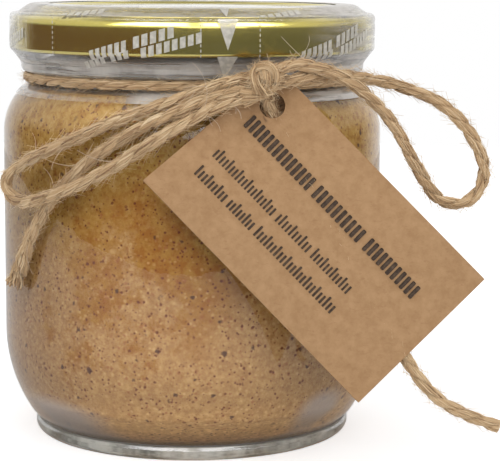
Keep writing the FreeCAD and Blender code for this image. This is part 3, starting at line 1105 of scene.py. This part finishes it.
RIGHT_LOOP: Route = [
    (0.0175, -0.0440, 0.0864), (0.0205, -0.0432, 0.0878), (0.0245, -0.0420, 0.0874),
    (0.0290, -0.0405, 0.0862), (0.0335, -0.0390, 0.0840), (0.0385, -0.0377, 0.0800),
    (0.0430, -0.0370, 0.0750), (0.0470, -0.0370, 0.0680), (0.0505, -0.0365, 0.0615),
    (0.0540, -0.0360, 0.0575), (0.0600, -0.0350, 0.0570), (0.0640, -0.0340, 0.0625),
    (0.0625, -0.0330, 0.0690), (0.0585, -0.0315, 0.0752), (0.0530, -0.0305, 0.0796),
    (0.0460, -0.0295, 0.0822), (0.0395, -0.0295, 0.0838), (0.0325, -0.0330, 0.0848),
    (0.0265, -0.0390, 0.0850), (0.0225, -0.0422, 0.0848), (0.0175, -0.0440, 0.0838),
]
LEFT_LOOP: Route = [
    (0.0135, -0.0435, 0.0850), (0.0070, -0.0440, 0.0840), (-0.0010, -0.0440, 0.0810),
    (-0.0095, -0.0430, 0.0780), (-0.0185, -0.0410, 0.0745), (-0.0270, -0.0375, 0.0705),
    (-0.0335, -0.0335, 0.0675), (-0.0380, -0.0290, 0.0645), (-0.0410, -0.0265, 0.0620),
    (-0.0410, -0.0265, 0.0585), (-0.0380, -0.0290, 0.0565), (-0.0345, -0.0345, 0.0575),
    (-0.0280, -0.0395, 0.0600), (-0.0220, -0.0430, 0.0630), (-0.0150, -0.0450, 0.0670),
    (-0.0080, -0.0465, 0.0717), (-0.0010, -0.0470, 0.0760), (0.0055, -0.0465, 0.0793),
    (0.0128, -0.0452, 0.0812),
]
LEFT_END: Route = [
    (0.0130, -0.0455, 0.0825), (0.0060, -0.0455, 0.0815), (-0.0015, -0.0450, 0.0785),
    (-0.0095, -0.0440, 0.0750), (-0.0165, -0.0425, 0.0710), (-0.0230, -0.0395, 0.0660),
    (-0.0290, -0.0355, 0.0600), (-0.0330, -0.0315, 0.0540), (-0.0360, -0.0285, 0.0480),
    (-0.0380, -0.0255, 0.0420), (-0.0400, -0.0225, 0.0370),
]
RIGHT_END: Route = [
    (0.0160, -0.0445, 0.0810), (0.0155, -0.0430, 0.0800), (0.0165, -0.0405, 0.0780),
    (0.0190, -0.0410, 0.0735), (0.0230, -0.0420, 0.0650), (0.0290, -0.0435, 0.0540),
    (0.0360, -0.0450, 0.0420), (0.0420, -0.0465, 0.0310), (0.0470, -0.0480, 0.0230),
    (0.0520, -0.0490, 0.0170), (0.0585, -0.0495, 0.0135), (0.0655, -0.0490, 0.0110),
]
KNOT_SHANK: Route = [
    (0.0060, -0.0380, 0.0822), (0.0085, -0.0417, 0.0821), (0.0110, -0.0433, 0.0819),
    (0.0150, -0.0436, 0.0826),
]
# Each wrap of the knot is a flat bundle of fibres: its route, half its width and thickness,
# and how pale it is; a paleness below zero is painted shade.
KNOT_WRAPS: list[tuple[Route, float, float, float]] = [
    ([(0.0124, -0.0448, 0.0846), (0.0128, -0.0462, 0.0862), (0.0139, -0.0472, 0.0873),
      (0.0152, -0.0476, 0.0877), (0.0165, -0.0476, 0.0871), (0.0171, -0.0475, 0.0857),
      (0.0170, -0.0473, 0.0842), (0.0162, -0.0468, 0.0830), (0.0152, -0.0460, 0.0824)],
     0.00115, 0.00080, 0.5),
    ([(0.0138, -0.0458, 0.0868), (0.0129, -0.0472, 0.0858), (0.0128, -0.0479, 0.0846),
      (0.0132, -0.0481, 0.0835), (0.0138, -0.0480, 0.0825), (0.0142, -0.0475, 0.0819)],
     0.00125, 0.00070, 0.45),
    ([(0.0140, -0.0470, 0.0870), (0.0148, -0.0483, 0.0862), (0.0151, -0.0486, 0.0850),
      (0.0150, -0.0484, 0.0838), (0.0146, -0.0478, 0.0828)], 0.00085, 0.00050, 0.55),
    ([(0.0136, -0.0464, 0.0864), (0.0145, -0.0473, 0.0858), (0.0152, -0.0476, 0.0848),
      (0.0156, -0.0476, 0.0836), (0.0159, -0.0470, 0.0825)], 0.00110, 0.00060, 0.25),
    ([(0.0134, -0.0450, 0.0842), (0.0142, -0.0462, 0.0850), (0.0154, -0.0466, 0.0858),
      (0.0168, -0.0462, 0.0862)], 0.00150, 0.00060, 0.10),
    ([(0.0130, -0.0470, 0.0836), (0.0139, -0.0479, 0.0842), (0.0150, -0.0482, 0.0840),
      (0.0160, -0.0478, 0.0832), (0.0166, -0.0468, 0.0826)], 0.00080, 0.00050, 0.50),
    ([(0.0104, -0.0440, 0.0846), (0.0126, -0.0452, 0.0848), (0.0150, -0.0456, 0.0850),
      (0.0176, -0.0448, 0.0858), (0.0192, -0.0436, 0.0868)], 0.00140, 0.00110, 0.4),
    ([(0.0100, -0.0452, 0.0824), (0.0122, -0.0462, 0.0826), (0.0148, -0.0464, 0.0832),
      (0.0170, -0.0452, 0.0838), (0.0188, -0.0440, 0.0842)], 0.00140, 0.00105, 0.4),
    ([(0.0104, -0.0458, 0.0806), (0.0124, -0.0466, 0.0814), (0.0143, -0.0468, 0.0818),
      (0.0158, -0.0462, 0.0826)], 0.00120, 0.00095, 0.45),
    # The last two bundles lie behind the card's hole, darkened as painted shade.
    ([(0.0148, -0.0392, 0.0812), (0.0160, -0.0396, 0.0798), (0.0172, -0.0399, 0.0782),
      (0.0184, -0.0400, 0.0766)], 0.00250, 0.00060, -0.3),
    ([(0.0190, -0.0388, 0.0812), (0.0178, -0.0390, 0.0797), (0.0166, -0.0393, 0.0782),
      (0.0154, -0.0398, 0.0768)], 0.00250, 0.00060, -0.3),
]


class Tubes:
    """Many thin tubes gathered into one mesh, each with its own tone."""

    def __init__(self) -> None:
        """Start with no tube."""
        self.points: list[np.ndarray] = []
        self.faces: list[tuple[int, ...]] = []
        self.tones: list[np.ndarray] = []
        self.count = 0

    def lay(self, path: np.ndarray, radius: np.ndarray, sides: int, tone: np.ndarray) -> None:
        """Add a tube, closed at both ends.

        Args:
            path: the points along its middle.
            radius: its radius at each of them.
            sides: how many sides it has.
            tone: its tone at each point.
        """
        way = np.gradient(path, axis=0)
        way /= np.linalg.norm(way, axis=1, keepdims=True) + 1e-12
        across = np.cross(way, (0.31, -0.17, 0.93))
        across /= np.linalg.norm(across, axis=1, keepdims=True) + 1e-12
        over = np.cross(way, across)
        count = len(path)
        base = self.count
        for number in range(sides):
            angle = 2.0 * math.pi * number / sides
            self.points.append(path + radius[:, None] * (
                math.cos(angle) * across + math.sin(angle) * over))
            self.tones.append(tone)
            near = base + number * count
            far = base + (number + 1) % sides * count
            self.faces.extend((near + at, near + at + 1, far + at + 1, far + at)
                              for at in range(count - 1))
        self.faces.append(tuple(base + number * count for number in range(sides)))
        self.faces.append(
            tuple(base + number * count + count - 1 for number in range(sides))[::-1])
        self.count += sides * count

    def piece(self, name: str) -> bpy.types.Object:
        """Make the mesh object, with its faces turned outward.

        Args:
            name: the piece's name.

        Returns:
            The piece, shaded smooth.
        """
        mesh = bpy.data.meshes.new(name)
        mesh.from_pydata(np.concatenate(self.points).tolist(), [], self.faces)
        mesh.update()
        piece = bpy.data.objects.new(name, mesh)
        bpy.context.collection.objects.link(piece)
        give_number(piece, "tone", np.concatenate(self.tones))
        clear_selection()
        piece.select_set(True)
        bpy.context.view_layer.objects.active = piece
        bpy.ops.object.mode_set(mode="EDIT")
        bpy.ops.mesh.select_all(action="SELECT")
        bpy.ops.mesh.normals_make_consistent(inside=False)
        bpy.ops.object.mode_set(mode="OBJECT")
        smooth(piece, 75.0)
        return piece


@dataclass
class Strand:
    """Plies of jute fibres laid round a line, with the strays that stand off them."""

    line: np.ndarray
    closed: bool = False
    plies: int = 2
    ply_offset: float = 0.00056
    ply_thick: float = 0.00064
    ply_wide: float = 0.00092
    pitch: float = 0.0094
    back_twist: float = 1.35
    fibres: int = 30
    fibre_radius: float = 0.00013
    unruly: float = 1.0
    pale: float = 0.5
    strays: float = 11.0
    stray_length: float = 0.0052
    frayed: float = 0.0
    frayed_length: float = 0.012
    farthest: float = 0.0031
    seed: int = 1

    def frames(self) -> tuple[np.ndarray, np.ndarray, np.ndarray]:
        """The line's directions and two square directions carried along it without twist."""
        ahead = np.gradient(self.line, axis=0)
        ahead /= np.linalg.norm(ahead, axis=1, keepdims=True)
        side = np.empty_like(self.line)
        first = np.cross(ahead[0], (0.0, 0.3, 1.0))
        side[0] = first / np.linalg.norm(first)
        for index in range(1, len(self.line)):
            moved = side[index - 1] - ahead[index] * (side[index - 1] @ ahead[index])
            side[index] = moved / np.linalg.norm(moved)
        return ahead, side, np.cross(ahead, side)

    def build(self, tubes: Tubes) -> None:
        """Lay the strand's fibres.

        Args:
            tubes: where they are gathered.
        """
        random = np.random.default_rng(self.seed)
        ahead, side, up = self.frames()
        gone = np.r_[0.0, np.cumsum(np.linalg.norm(np.diff(self.line, axis=0), axis=1))]
        whole = gone[-1]
        near_end = np.clip((gone - whole + self.frayed_length) / self.frayed_length, 0.0, 1.0)
        spread = 1.0 + self.frayed * near_end ** 1.5
        turns = round(whole / self.pitch) if self.closed else whole / self.pitch
        wind = -2.0 * math.pi * turns * gone / whole
        for ply in range(self.plies):
            swing = (wind + 2.0 * math.pi * ply / self.plies)[:, None]
            out = np.cos(swing) * side + np.sin(swing) * up
            along = -np.sin(swing) * side + np.cos(swing) * up
            lump = 1.0 + 0.07 * np.sin(gone / 0.0053 + ply * 2.0 + self.seed)
            middle = self.line + (self.ply_offset * spread)[:, None] * out
            twist = self.back_twist * 2.0 * math.pi * gone / self.pitch

            def beside(reach: np.ndarray, start: float) -> np.ndarray:
                """The points at a share of the ply's radius, winding round its middle."""
                turn = (start + twist)[:, None]
                return middle + (reach * lump * spread)[:, None] * (
                    self.ply_thick * np.cos(turn) * out + self.ply_wide * np.sin(turn) * along)

            # Painted shade: the core fibres inside each ply take half its paleness, darker in the
            # gaps between the outer fibres.
            core = np.full(len(gone), 0.45)
            for number in range(5):
                lean = 2.0 * math.pi * number / 5
                tubes.lay(beside(core, lean), np.full(len(gone), self.ply_thick * 0.42), 5,
                          np.full(len(gone), self.pale * 0.5))
            for number in range(self.fibres):
                start = 2.0 * math.pi * number / self.fibres + random.uniform(-0.12, 0.12)
                loose = self.unruly * (0.08 if number % 3 else random.uniform(0.14, 0.30))
                reach = random.uniform(0.84, 1.0) + loose * np.sin(
                    gone / random.uniform(0.0025, 0.007) + 5.0 * start)
                path = beside(reach, start)
                last = len(path)
                if self.frayed:
                    last -= int(random.uniform(0.0, min(0.007, 0.2 * whole))
                                / (gone[1] - gone[0]))
                thick = self.fibre_radius * random.uniform(0.75, 1.45)
                shade = random.normal(self.pale, 0.19) + 0.10 * np.sin(
                    gone / random.uniform(0.002, 0.006) + start)
                tubes.lay(path[:last], np.full(last, thick), 4, shade[:last])
        self.build_strays(tubes, random, (ahead, side, up), whole)

    def build_strays(self, tubes: Tubes, random: np.random.Generator,
                     frames: tuple[np.ndarray, np.ndarray, np.ndarray], whole: float) -> None:
        """Stand short fibres off the strand.

        Args:
            tubes: where they are gathered.
            random: the strand's own numbers.
            frames: the strand's directions.
            whole: its length.
        """
        ahead, side, up = frames
        share = np.linspace(0.0, 1.0, 8)[:, None]
        for _ in range(int(whole / MM * self.strays)):
            at = int(random.integers(0, len(self.line) - 1))
            angle = random.uniform(0.0, 2.0 * math.pi)
            out = math.cos(angle) * side[at] + math.sin(angle) * up[at]
            way = ahead[at] * random.choice((-1.0, 1.0))
            length = self.stray_length * random.uniform(0.25, 1.0)
            lift = random.uniform(0.0002, 0.0014)
            lean = random.normal(0.0, 0.35)
            over = np.cross(way, out)
            path = (self.line[at] + out * (self.ply_offset + 0.6 * self.ply_thick)
                    + way * length * share + out * lift * share ** 1.4
                    + over * length * lean * share ** 1.6)
            off = np.linalg.norm(path[:, None] - self.line[None], axis=2).min(axis=1)
            if off.max() < self.farthest:
                thick = random.uniform(0.000035, 0.000065)
                tubes.lay(path, np.linspace(thick, thick * 0.5, 8), 3,
                          np.full(8, random.uniform(0.45, 1.0)))


@dataclass
class Bow:
    """The twine: a turn round the neck, a knot, two loops and two loose ends."""

    spacing: float = 0.0006
    diameter: float = 0.0024

    def line_of(self, route: Route) -> np.ndarray:
        """The smooth line that a route's points steer, evenly divided.

        Args:
            route: the route's points.

        Returns:
            Points along the line.
        """
        curve = bpy.data.curves.new("route", "CURVE")
        curve.dimensions = "3D"
        spline = curve.splines.new("NURBS")
        spline.points.add(len(route) - 1)
        for point, place in zip(spline.points, route):
            point.co = (*place, 1.0)
        spline.order_u = 3
        spline.use_endpoint_u = True
        curve.resolution_u = 12
        holder = bpy.data.objects.new("route", curve)
        bpy.context.collection.objects.link(holder)
        bpy.context.view_layer.update()
        graph = bpy.context.evaluated_depsgraph_get()
        mesh = bpy.data.meshes.new_from_object(holder.evaluated_get(graph))
        line = np.array([vertex.co for vertex in mesh.vertices], dtype=float)
        bpy.data.objects.remove(holder)
        bpy.data.curves.remove(curve)
        bpy.data.meshes.remove(mesh)
        gone = np.r_[0.0, np.cumsum(np.linalg.norm(np.diff(line, axis=0), axis=1))]
        even = np.linspace(0.0, gone[-1], max(8, int(gone[-1] / self.spacing)))
        return np.stack([np.interp(even, gone, line[:, axis]) for axis in range(3)], 1)

    def neck_line(self) -> np.ndarray:
        """The ring that the neck turn follows."""
        low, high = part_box("neck_twine")
        radius = (high[0] - low[0]) / 2 - self.diameter / 2 + 0.00012
        height = (low[2] + high[2]) / 2 + 0.0003
        turns = np.linspace(0.0, 2.0 * math.pi, 281)
        return np.stack([radius * np.sin(turns), radius * np.cos(turns),
                         np.full_like(turns, height)], 1)

    def build(self, tag_pieces: list[bpy.types.Object]) -> None:
        """Args:
            tag_pieces: the card and its print; not used.
        """
        jute = Jute().material()
        tubes = Tubes()
        Strand(self.neck_line(), closed=True, ply_offset=0.00052, ply_thick=0.00050,
               ply_wide=0.00080, pitch=0.0115, fibres=24, strays=5.5, stray_length=0.0042,
               seed=5).build(tubes)
        turn = tubes.piece("neck_turn")
        finished(turn, jute, "jute_twine", "neck_twine")
        knot = self.build_knot()
        finished(knot, jute, "jute_twine", "knot")
        strays = self.build_loose_fibres(
            [self.line_of(LEFT_LOOP), self.line_of(LEFT_END), self.line_of(RIGHT_LOOP)[:36]])
        plan = (
            ("bow_loop_right", RIGHT_LOOP, "right_loop", "object", 0.0, [knot]),
            ("bow_loop_left", LEFT_LOOP, "left_loop", "object", 0.0, [strays]),
            ("loose_end_left", LEFT_END, "left_end", "bare", 0.9, []),
            ("loose_end_right", RIGHT_END, "right_end", "bare", 0.0, tag_pieces),
        )
        for seed, (name, route, node, far_end, frayed, company) in enumerate(plan, start=11):
            line = self.line_of(route)
            tubes = Tubes()
            Strand(line, frayed=frayed, seed=seed).build(tubes)
            piece = tubes.piece(name)
            finished(piece, jute, "jute_twine", node)

    def build_loose_fibres(self, lines: list[np.ndarray]) -> bpy.types.Object:
        """Curl a few long fibres out of the strands, clear of the glass.

        Args:
            lines: the strands' lines.

        Returns:
            The fibres as one piece.
        """
        random = np.random.default_rng(77)
        tubes = Tubes()
        share = np.linspace(0.0, 1.0, 16)
        for line, count in zip(lines, (16, 12, 5)):
            ahead = np.gradient(line, axis=0)
            ahead /= np.linalg.norm(ahead, axis=1, keepdims=True)
            for _ in range(count):
                at = int(random.integers(4, len(line) - 4))
                away = line[at] * (1.0, 1.0, 0.0)
                away /= np.linalg.norm(away)
                way = ahead[at] * random.choice((-1.0, 1.0))
                side = np.cross(way, away) * random.choice((-1.0, 1.0))
                start = way + 0.5 * side + 0.15 * away
                start /= np.linalg.norm(start)
                bend = side * random.uniform(-1.0, 1.0) + way * -0.3
                bend -= start * (bend @ start)
                length = random.uniform(0.004, 0.012)
                curl = random.uniform(0.2, 1.0) * share
                path = line[at] + away * 0.0006 + length * share[:, None] * (
                    start * np.cos(curl)[:, None] + bend * np.sin(curl)[:, None])
                reach = np.hypot(path[:, 0], path[:, 1])
                least = np.where(path[:, 2] < 0.0985, 0.0447, 0.0)
                path[:, :2] *= np.maximum(1.0, least / reach)[:, None]
                thick = random.uniform(0.00004, 0.00006)
                tubes.lay(path, np.linspace(thick, thick * 0.6, 16), 4,
                          np.full(16, random.uniform(0.35, 0.8)))
        piece = tubes.piece("loose_fibres")
        return finished(piece, bpy.data.materials["jute_twine"], "jute_twine")

    def build_knot(self) -> bpy.types.Object:
        """Wrap the knot in flat bundles of fibres, with the shank to the neck turn."""
        tubes = Tubes()
        Strand(self.line_of(KNOT_SHANK), ply_offset=0.0005, ply_thick=0.0005, ply_wide=0.0008,
               fibres=16, strays=1.0, seed=30).build(tubes)
        for seed, (route, wide, thick, pale) in enumerate(KNOT_WRAPS, start=31):
            Strand(self.line_of(route), plies=1, ply_offset=0.0, ply_thick=thick,
                   ply_wide=wide, pitch=0.045, back_twist=2.2, fibres=48, unruly=2.2,
                   pale=pale, strays=16.0, stray_length=0.0032, frayed=0.30,
                   frayed_length=0.003, seed=seed).build(tubes)
        return tubes.piece("bow_knot")


# ------------------------------------------------------------------------------------ the tag


@dataclass
class Tag:
    """The kraft card and its plain printed bars."""

    corner: Vector = field(default_factory=lambda: Vector((-0.0104, -0.0487, 0.0637)))
    length: float = 0.0652
    width: float = 0.0375
    near_skew: float = 0.0025
    far_skew: float = 0.0009
    far_rise: float = 0.0007
    wall: float = 0.0005
    hole: float = 0.00275
    hole_along: float = 0.0077
    hole_across: float = 0.0310
    turn: float = math.radians(8.0)
    lean: float = math.radians(12.0)
    roll: float = math.radians(-47.0)

    def placed(self, piece: bpy.types.Object) -> bpy.types.Object:
        """Carry a piece that was made flat at the origin to where the card hangs."""
        stand = Euler((math.pi / 2 - self.lean, 0.0, 0.0)).to_matrix()
        way = (Matrix.Rotation(self.turn, 3, "Z") @ stand
               @ Matrix.Rotation(self.roll, 3, "Z")).to_4x4()
        piece.data.transform(Matrix.Translation(self.corner) @ way)
        piece.data.update()
        return piece

    def build_card(self) -> bpy.types.Object:
        """Cut the card from a block, skew it, punch its hole and ease its edges."""
        clear_selection()
        bpy.ops.mesh.primitive_cube_add(size=1.0)
        card = named(bpy.context.object, "kraft_tag")
        bpy.ops.object.mode_set(mode="EDIT")
        bpy.ops.mesh.select_all(action="SELECT")
        bpy.ops.transform.resize(value=(self.length, self.width, self.wall))
        bpy.ops.transform.translate(
            value=(self.length / 2, self.width / 2, self.wall / 2))
        bpy.ops.object.mode_set(mode="OBJECT")
        for vertex in card.data.vertices:
            if vertex.co.y > self.width / 2:
                near = vertex.co.x < self.length / 2
                vertex.co.x += self.near_skew if near else self.far_skew
                vertex.co.y += 0.0 if near else self.far_rise
        clear_selection()
        bpy.ops.mesh.primitive_cylinder_add(
            vertices=64, radius=self.hole, depth=self.wall * 6,
            location=(self.hole_along, self.hole_across, 0.0))
        punch = bpy.context.object
        cut = card.modifiers.new("hole", "BOOLEAN")
        cut.operation = "DIFFERENCE"
        cut.object = punch
        ease = card.modifiers.new("edges", "BEVEL")
        ease.width = 0.00008
        ease.segments = 2
        ease.limit_method = "ANGLE"
        clear_selection()
        card.select_set(True)
        bpy.context.view_layer.objects.active = card
        bpy.ops.object.modifier_apply(modifier="hole")
        bpy.ops.object.modifier_apply(modifier="edges")
        bpy.data.objects.remove(punch)
        self.placed(card)
        smooth(card, 30.0)
        return finished(card, KraftCard().material(), "kraft_card", "tag")

    def build_stroke(self, along: float, across: float, wide: float,
                     high: float) -> bpy.types.Object:
        """Make one plain stroke of ink, with eased corners, on the flat card.

        Args:
            along, across: its lower left corner.
            wide, high: its size.
        """
        clear_selection()
        bpy.ops.mesh.primitive_cube_add(size=1.0)
        stroke = bpy.context.object
        bpy.ops.object.mode_set(mode="EDIT")
        bpy.ops.mesh.select_all(action="SELECT")
        bpy.ops.transform.resize(value=(wide, high, 0.00003))
        bpy.ops.transform.translate(
            value=(along + wide / 2, across + high / 2, self.wall + 0.00002))
        bpy.ops.mesh.select_all(action="DESELECT")
        bpy.ops.object.mode_set(mode="OBJECT")
        for edge in stroke.data.edges:
            low, top = (stroke.data.vertices[index].co for index in edge.vertices)
            edge.select = abs(low.z - top.z) > 0.00001
        bpy.ops.object.mode_set(mode="EDIT")
        bpy.ops.mesh.bevel(offset=wide * 0.3, segments=3, affect="EDGES")
        bpy.ops.object.mode_set(mode="OBJECT")
        return stroke

    def build_print(self) -> bpy.types.Object:
        """Lay rows of plain upright strokes on the card's front, in groups."""
        rows = (
            (0.0234, 0.0033, 0.00088, 0.00050, False,
             ((0.0064, 0.0191), (0.0270, 0.0139), (0.0426, 0.0150))),
            (0.0141, 0.0027, 0.00046, 0.00050, True,
             ((0.0064, 0.0176), (0.0253, 0.0095), (0.0360, 0.0110))),
            (0.0087, 0.0027, 0.00050, 0.00050, True,
             ((0.0064, 0.0084), (0.0159, 0.0071), (0.0242, 0.0233))),
        )
        bars = []
        for across, tall, stroke, gap, mixed, words in rows:
            for start, wide in words:
                count = round((wide + gap) / (stroke + gap))
                step = (wide - stroke) / (count - 1)
                for number in range(count):
                    high = tall * (0.74 if mixed and (number * 5 + count) % 3 else 1.0)
                    bars.append(self.build_stroke(start + number * step, across, stroke, high))
        clear_selection()
        for bar in bars:
            bar.select_set(True)
        bpy.context.view_layer.objects.active = bars[0]
        bpy.ops.object.join()
        piece = named(bpy.context.object, "tag_print")
        self.placed(piece)
        smooth(piece, 30.0)
        return finished(piece, DarkInk().material(), "kraft_card")


# ---------------------------------------------------------------------------------- the studio


@dataclass
class Studio:
    """The camera, the pale floor and the soft light."""

    eye: Vector = field(default_factory=lambda: Vector((0.0, -0.430, 0.108516)))
    yaw: float = math.radians(1.814)
    pitch: float = math.radians(8.25)
    roll: float = math.radians(0.355)
    lens: float = 132.32

    def build_camera(self) -> None:
        """Stand the camera at the picture's angle."""
        data = bpy.data.cameras.new("camera")
        data.lens = self.lens
        data.sensor_width = 36.0
        data.sensor_fit = "HORIZONTAL"
        data.clip_start = 0.01
        camera = bpy.data.objects.new("camera", data)
        bpy.context.collection.objects.link(camera)
        way = (Matrix.Rotation(-self.yaw, 4, "Z") @ Matrix.Rotation(math.pi / 2 - self.pitch, 4, "X")
               @ Matrix.Rotation(self.roll, 4, "Z"))
        camera.matrix_world = Matrix.Translation(self.eye) @ way
        bpy.context.scene.camera = camera

    def build_lamp(self, name: str, place: Colour, aim: Colour, wide: float, high: float,
                   power: float) -> None:
        """Hang one soft lamp.

        Args:
            name: the lamp's name.
            place, aim: where it hangs and what it faces.
            wide, high: its size.
            power: its power in watts.
        """
        data = bpy.data.lights.new(name, "AREA")
        data.shape = "RECTANGLE"
        data.size = wide
        data.size_y = high
        data.energy = power
        lamp = bpy.data.objects.new(name, data)
        bpy.context.collection.objects.link(lamp)
        lamp.location = place
        lamp.rotation_euler = (Vector(aim) - Vector(place)).to_track_quat("-Z", "Y").to_euler()

    def build_light(self) -> None:
        """Hang the lamps and light the room: white behind, dim in front, bright above."""
        self.build_lamp("top_left", (-0.36, -0.50, 0.75), (0.0, 0.0, 0.05), 0.50, 0.50, 0.85)
        self.build_lamp("top_right", (0.50, -0.45, 0.75), (0.0, 0.0, 0.05), 0.50, 0.50, 0.92)
        self.build_lamp("key", (-0.30, -0.95, 0.62), (0.0, 0.0, 0.05), 0.60, 0.40, 1.15)
        self.build_lamp("fill", (0.22, -0.95, 0.42), (0.0, 0.0, 0.05), 0.70, 0.35, 1.40)
        world = bpy.data.worlds.new("room")
        world.use_nodes = True
        bpy.context.scene.world = world
        graph = Graph.__new__(Graph)
        graph.tree = world.node_tree
        graph.tree.nodes.clear()
        output = graph.tree.nodes.new("ShaderNodeOutputWorld")
        way = graph.node("TexCoord").outputs["Generated"]
        axes = graph.node("SeparateXYZ", {"Vector": way}).outputs
        dim = graph.ramp(graph.maths("MULTIPLY_ADD", axes["Z"], 0.5, 0.5), [
            (0.0, (0.25, 0.25, 0.25)), (0.49, (0.15, 0.15, 0.15)), (0.54, (0.24, 0.24, 0.24)),
            (0.62, (0.85, 0.85, 0.85)), (0.86, (1.0, 1.0, 1.0)), (0.95, (0.42, 0.42, 0.42))])
        warm = graph.maths("MULTIPLY", graph.step(axes["X"], -0.25, -0.45),
                           graph.step(axes["Z"], 0.12, 0.02))
        dim = graph.blend(warm, dim, (0.16, 0.10, 0.07))
        round_about = graph.maths("ARCTAN2", axes["X"], graph.maths("MULTIPLY", axes["Y"], -1.0))
        left_box = graph.maths("MULTIPLY", graph.step(round_about, -1.05, -0.80),
                               graph.step(round_about, -0.02, -0.10))
        mid_box = graph.maths("MULTIPLY", graph.step(round_about, 0.06, 0.16),
                              graph.step(round_about, 1.15, 0.90))
        belt = graph.maths("MULTIPLY", graph.step(axes["Z"], 0.34, 0.52),
                           graph.step(axes["Z"], 0.93, 0.87))
        box = graph.maths("MULTIPLY", graph.maths("MAXIMUM", left_box, mid_box), belt)
        dim = graph.blend(box, dim, (7.5, 7.5, 8.0))
        mirrored = graph.blend(graph.step(axes["Y"], 0.45, 0.85), dim, (1.0, 1.0, 1.0))
        through = graph.blend(graph.step(axes["Y"], -0.35, 0.25), dim, (1.0, 1.0, 1.0))
        path = graph.node("LightPath")
        even = graph.blend(path.outputs["Is Glossy Ray"], (0.715, 0.715, 0.725), mirrored)
        even = graph.blend(path.outputs["Is Transmission Ray"], even, through)
        colour = graph.blend(path.outputs["Is Camera Ray"], even, (1.0, 1.0, 1.0))
        room = graph.node("Background", {"Color": colour})
        graph.tree.links.new(room.outputs[0], output.inputs[0])

    def build_floor(self) -> None:
        """Lay the pale floor, which still takes the jar's shadow."""
        clear_selection()
        bpy.ops.mesh.primitive_circle_add(vertices=96, radius=0.5, fill_type="NGON",
                                          location=(0.0, 0.20, 0.0))
        floor = named(bpy.context.object, "floor")
        graph = Graph("pale_floor")
        matt = graph.node("BsdfDiffuse", {"Color": (0.85, 0.85, 0.85)}).outputs[0]
        glow = graph.node("Emission", {"Color": (1.0, 1.0, 1.0), "Strength": 0.48}).outputs[0]
        lit = graph.tree.nodes.new("ShaderNodeAddShader")
        graph.feed(lit.inputs[0], matt)
        graph.feed(lit.inputs[1], glow)
        path = graph.node("LightPath")
        seen = graph.maths("MAXIMUM", path.outputs["Is Camera Ray"],
                           path.outputs["Is Transmission Ray"])
        floor.data.materials.append(graph.done(graph.join(seen, matt, lit.outputs[0])))

    def build(self) -> None:
        """Set up the whole studio."""
        self.build_camera()
        self.build_light()
        self.build_floor()
        bpy.context.scene.view_settings.view_transform = "Standard"


def main() -> None:
    """Build the whole jar on its frame."""
    logging.basicConfig(level=logging.INFO, format="%(message)s")
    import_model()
    studio = Studio()
    studio.build()
    tag = Tag()
    tag_pieces = [tag.build_card(), tag.build_print()]
    Bow().build(tag_pieces)
    jar = Jar()
    jar.build_glass()
    jar.build_butter()
    lid = Lid()
    lid.build()
    SecurityBand(jar, lid).build()


if __name__ == "__main__":
    main()
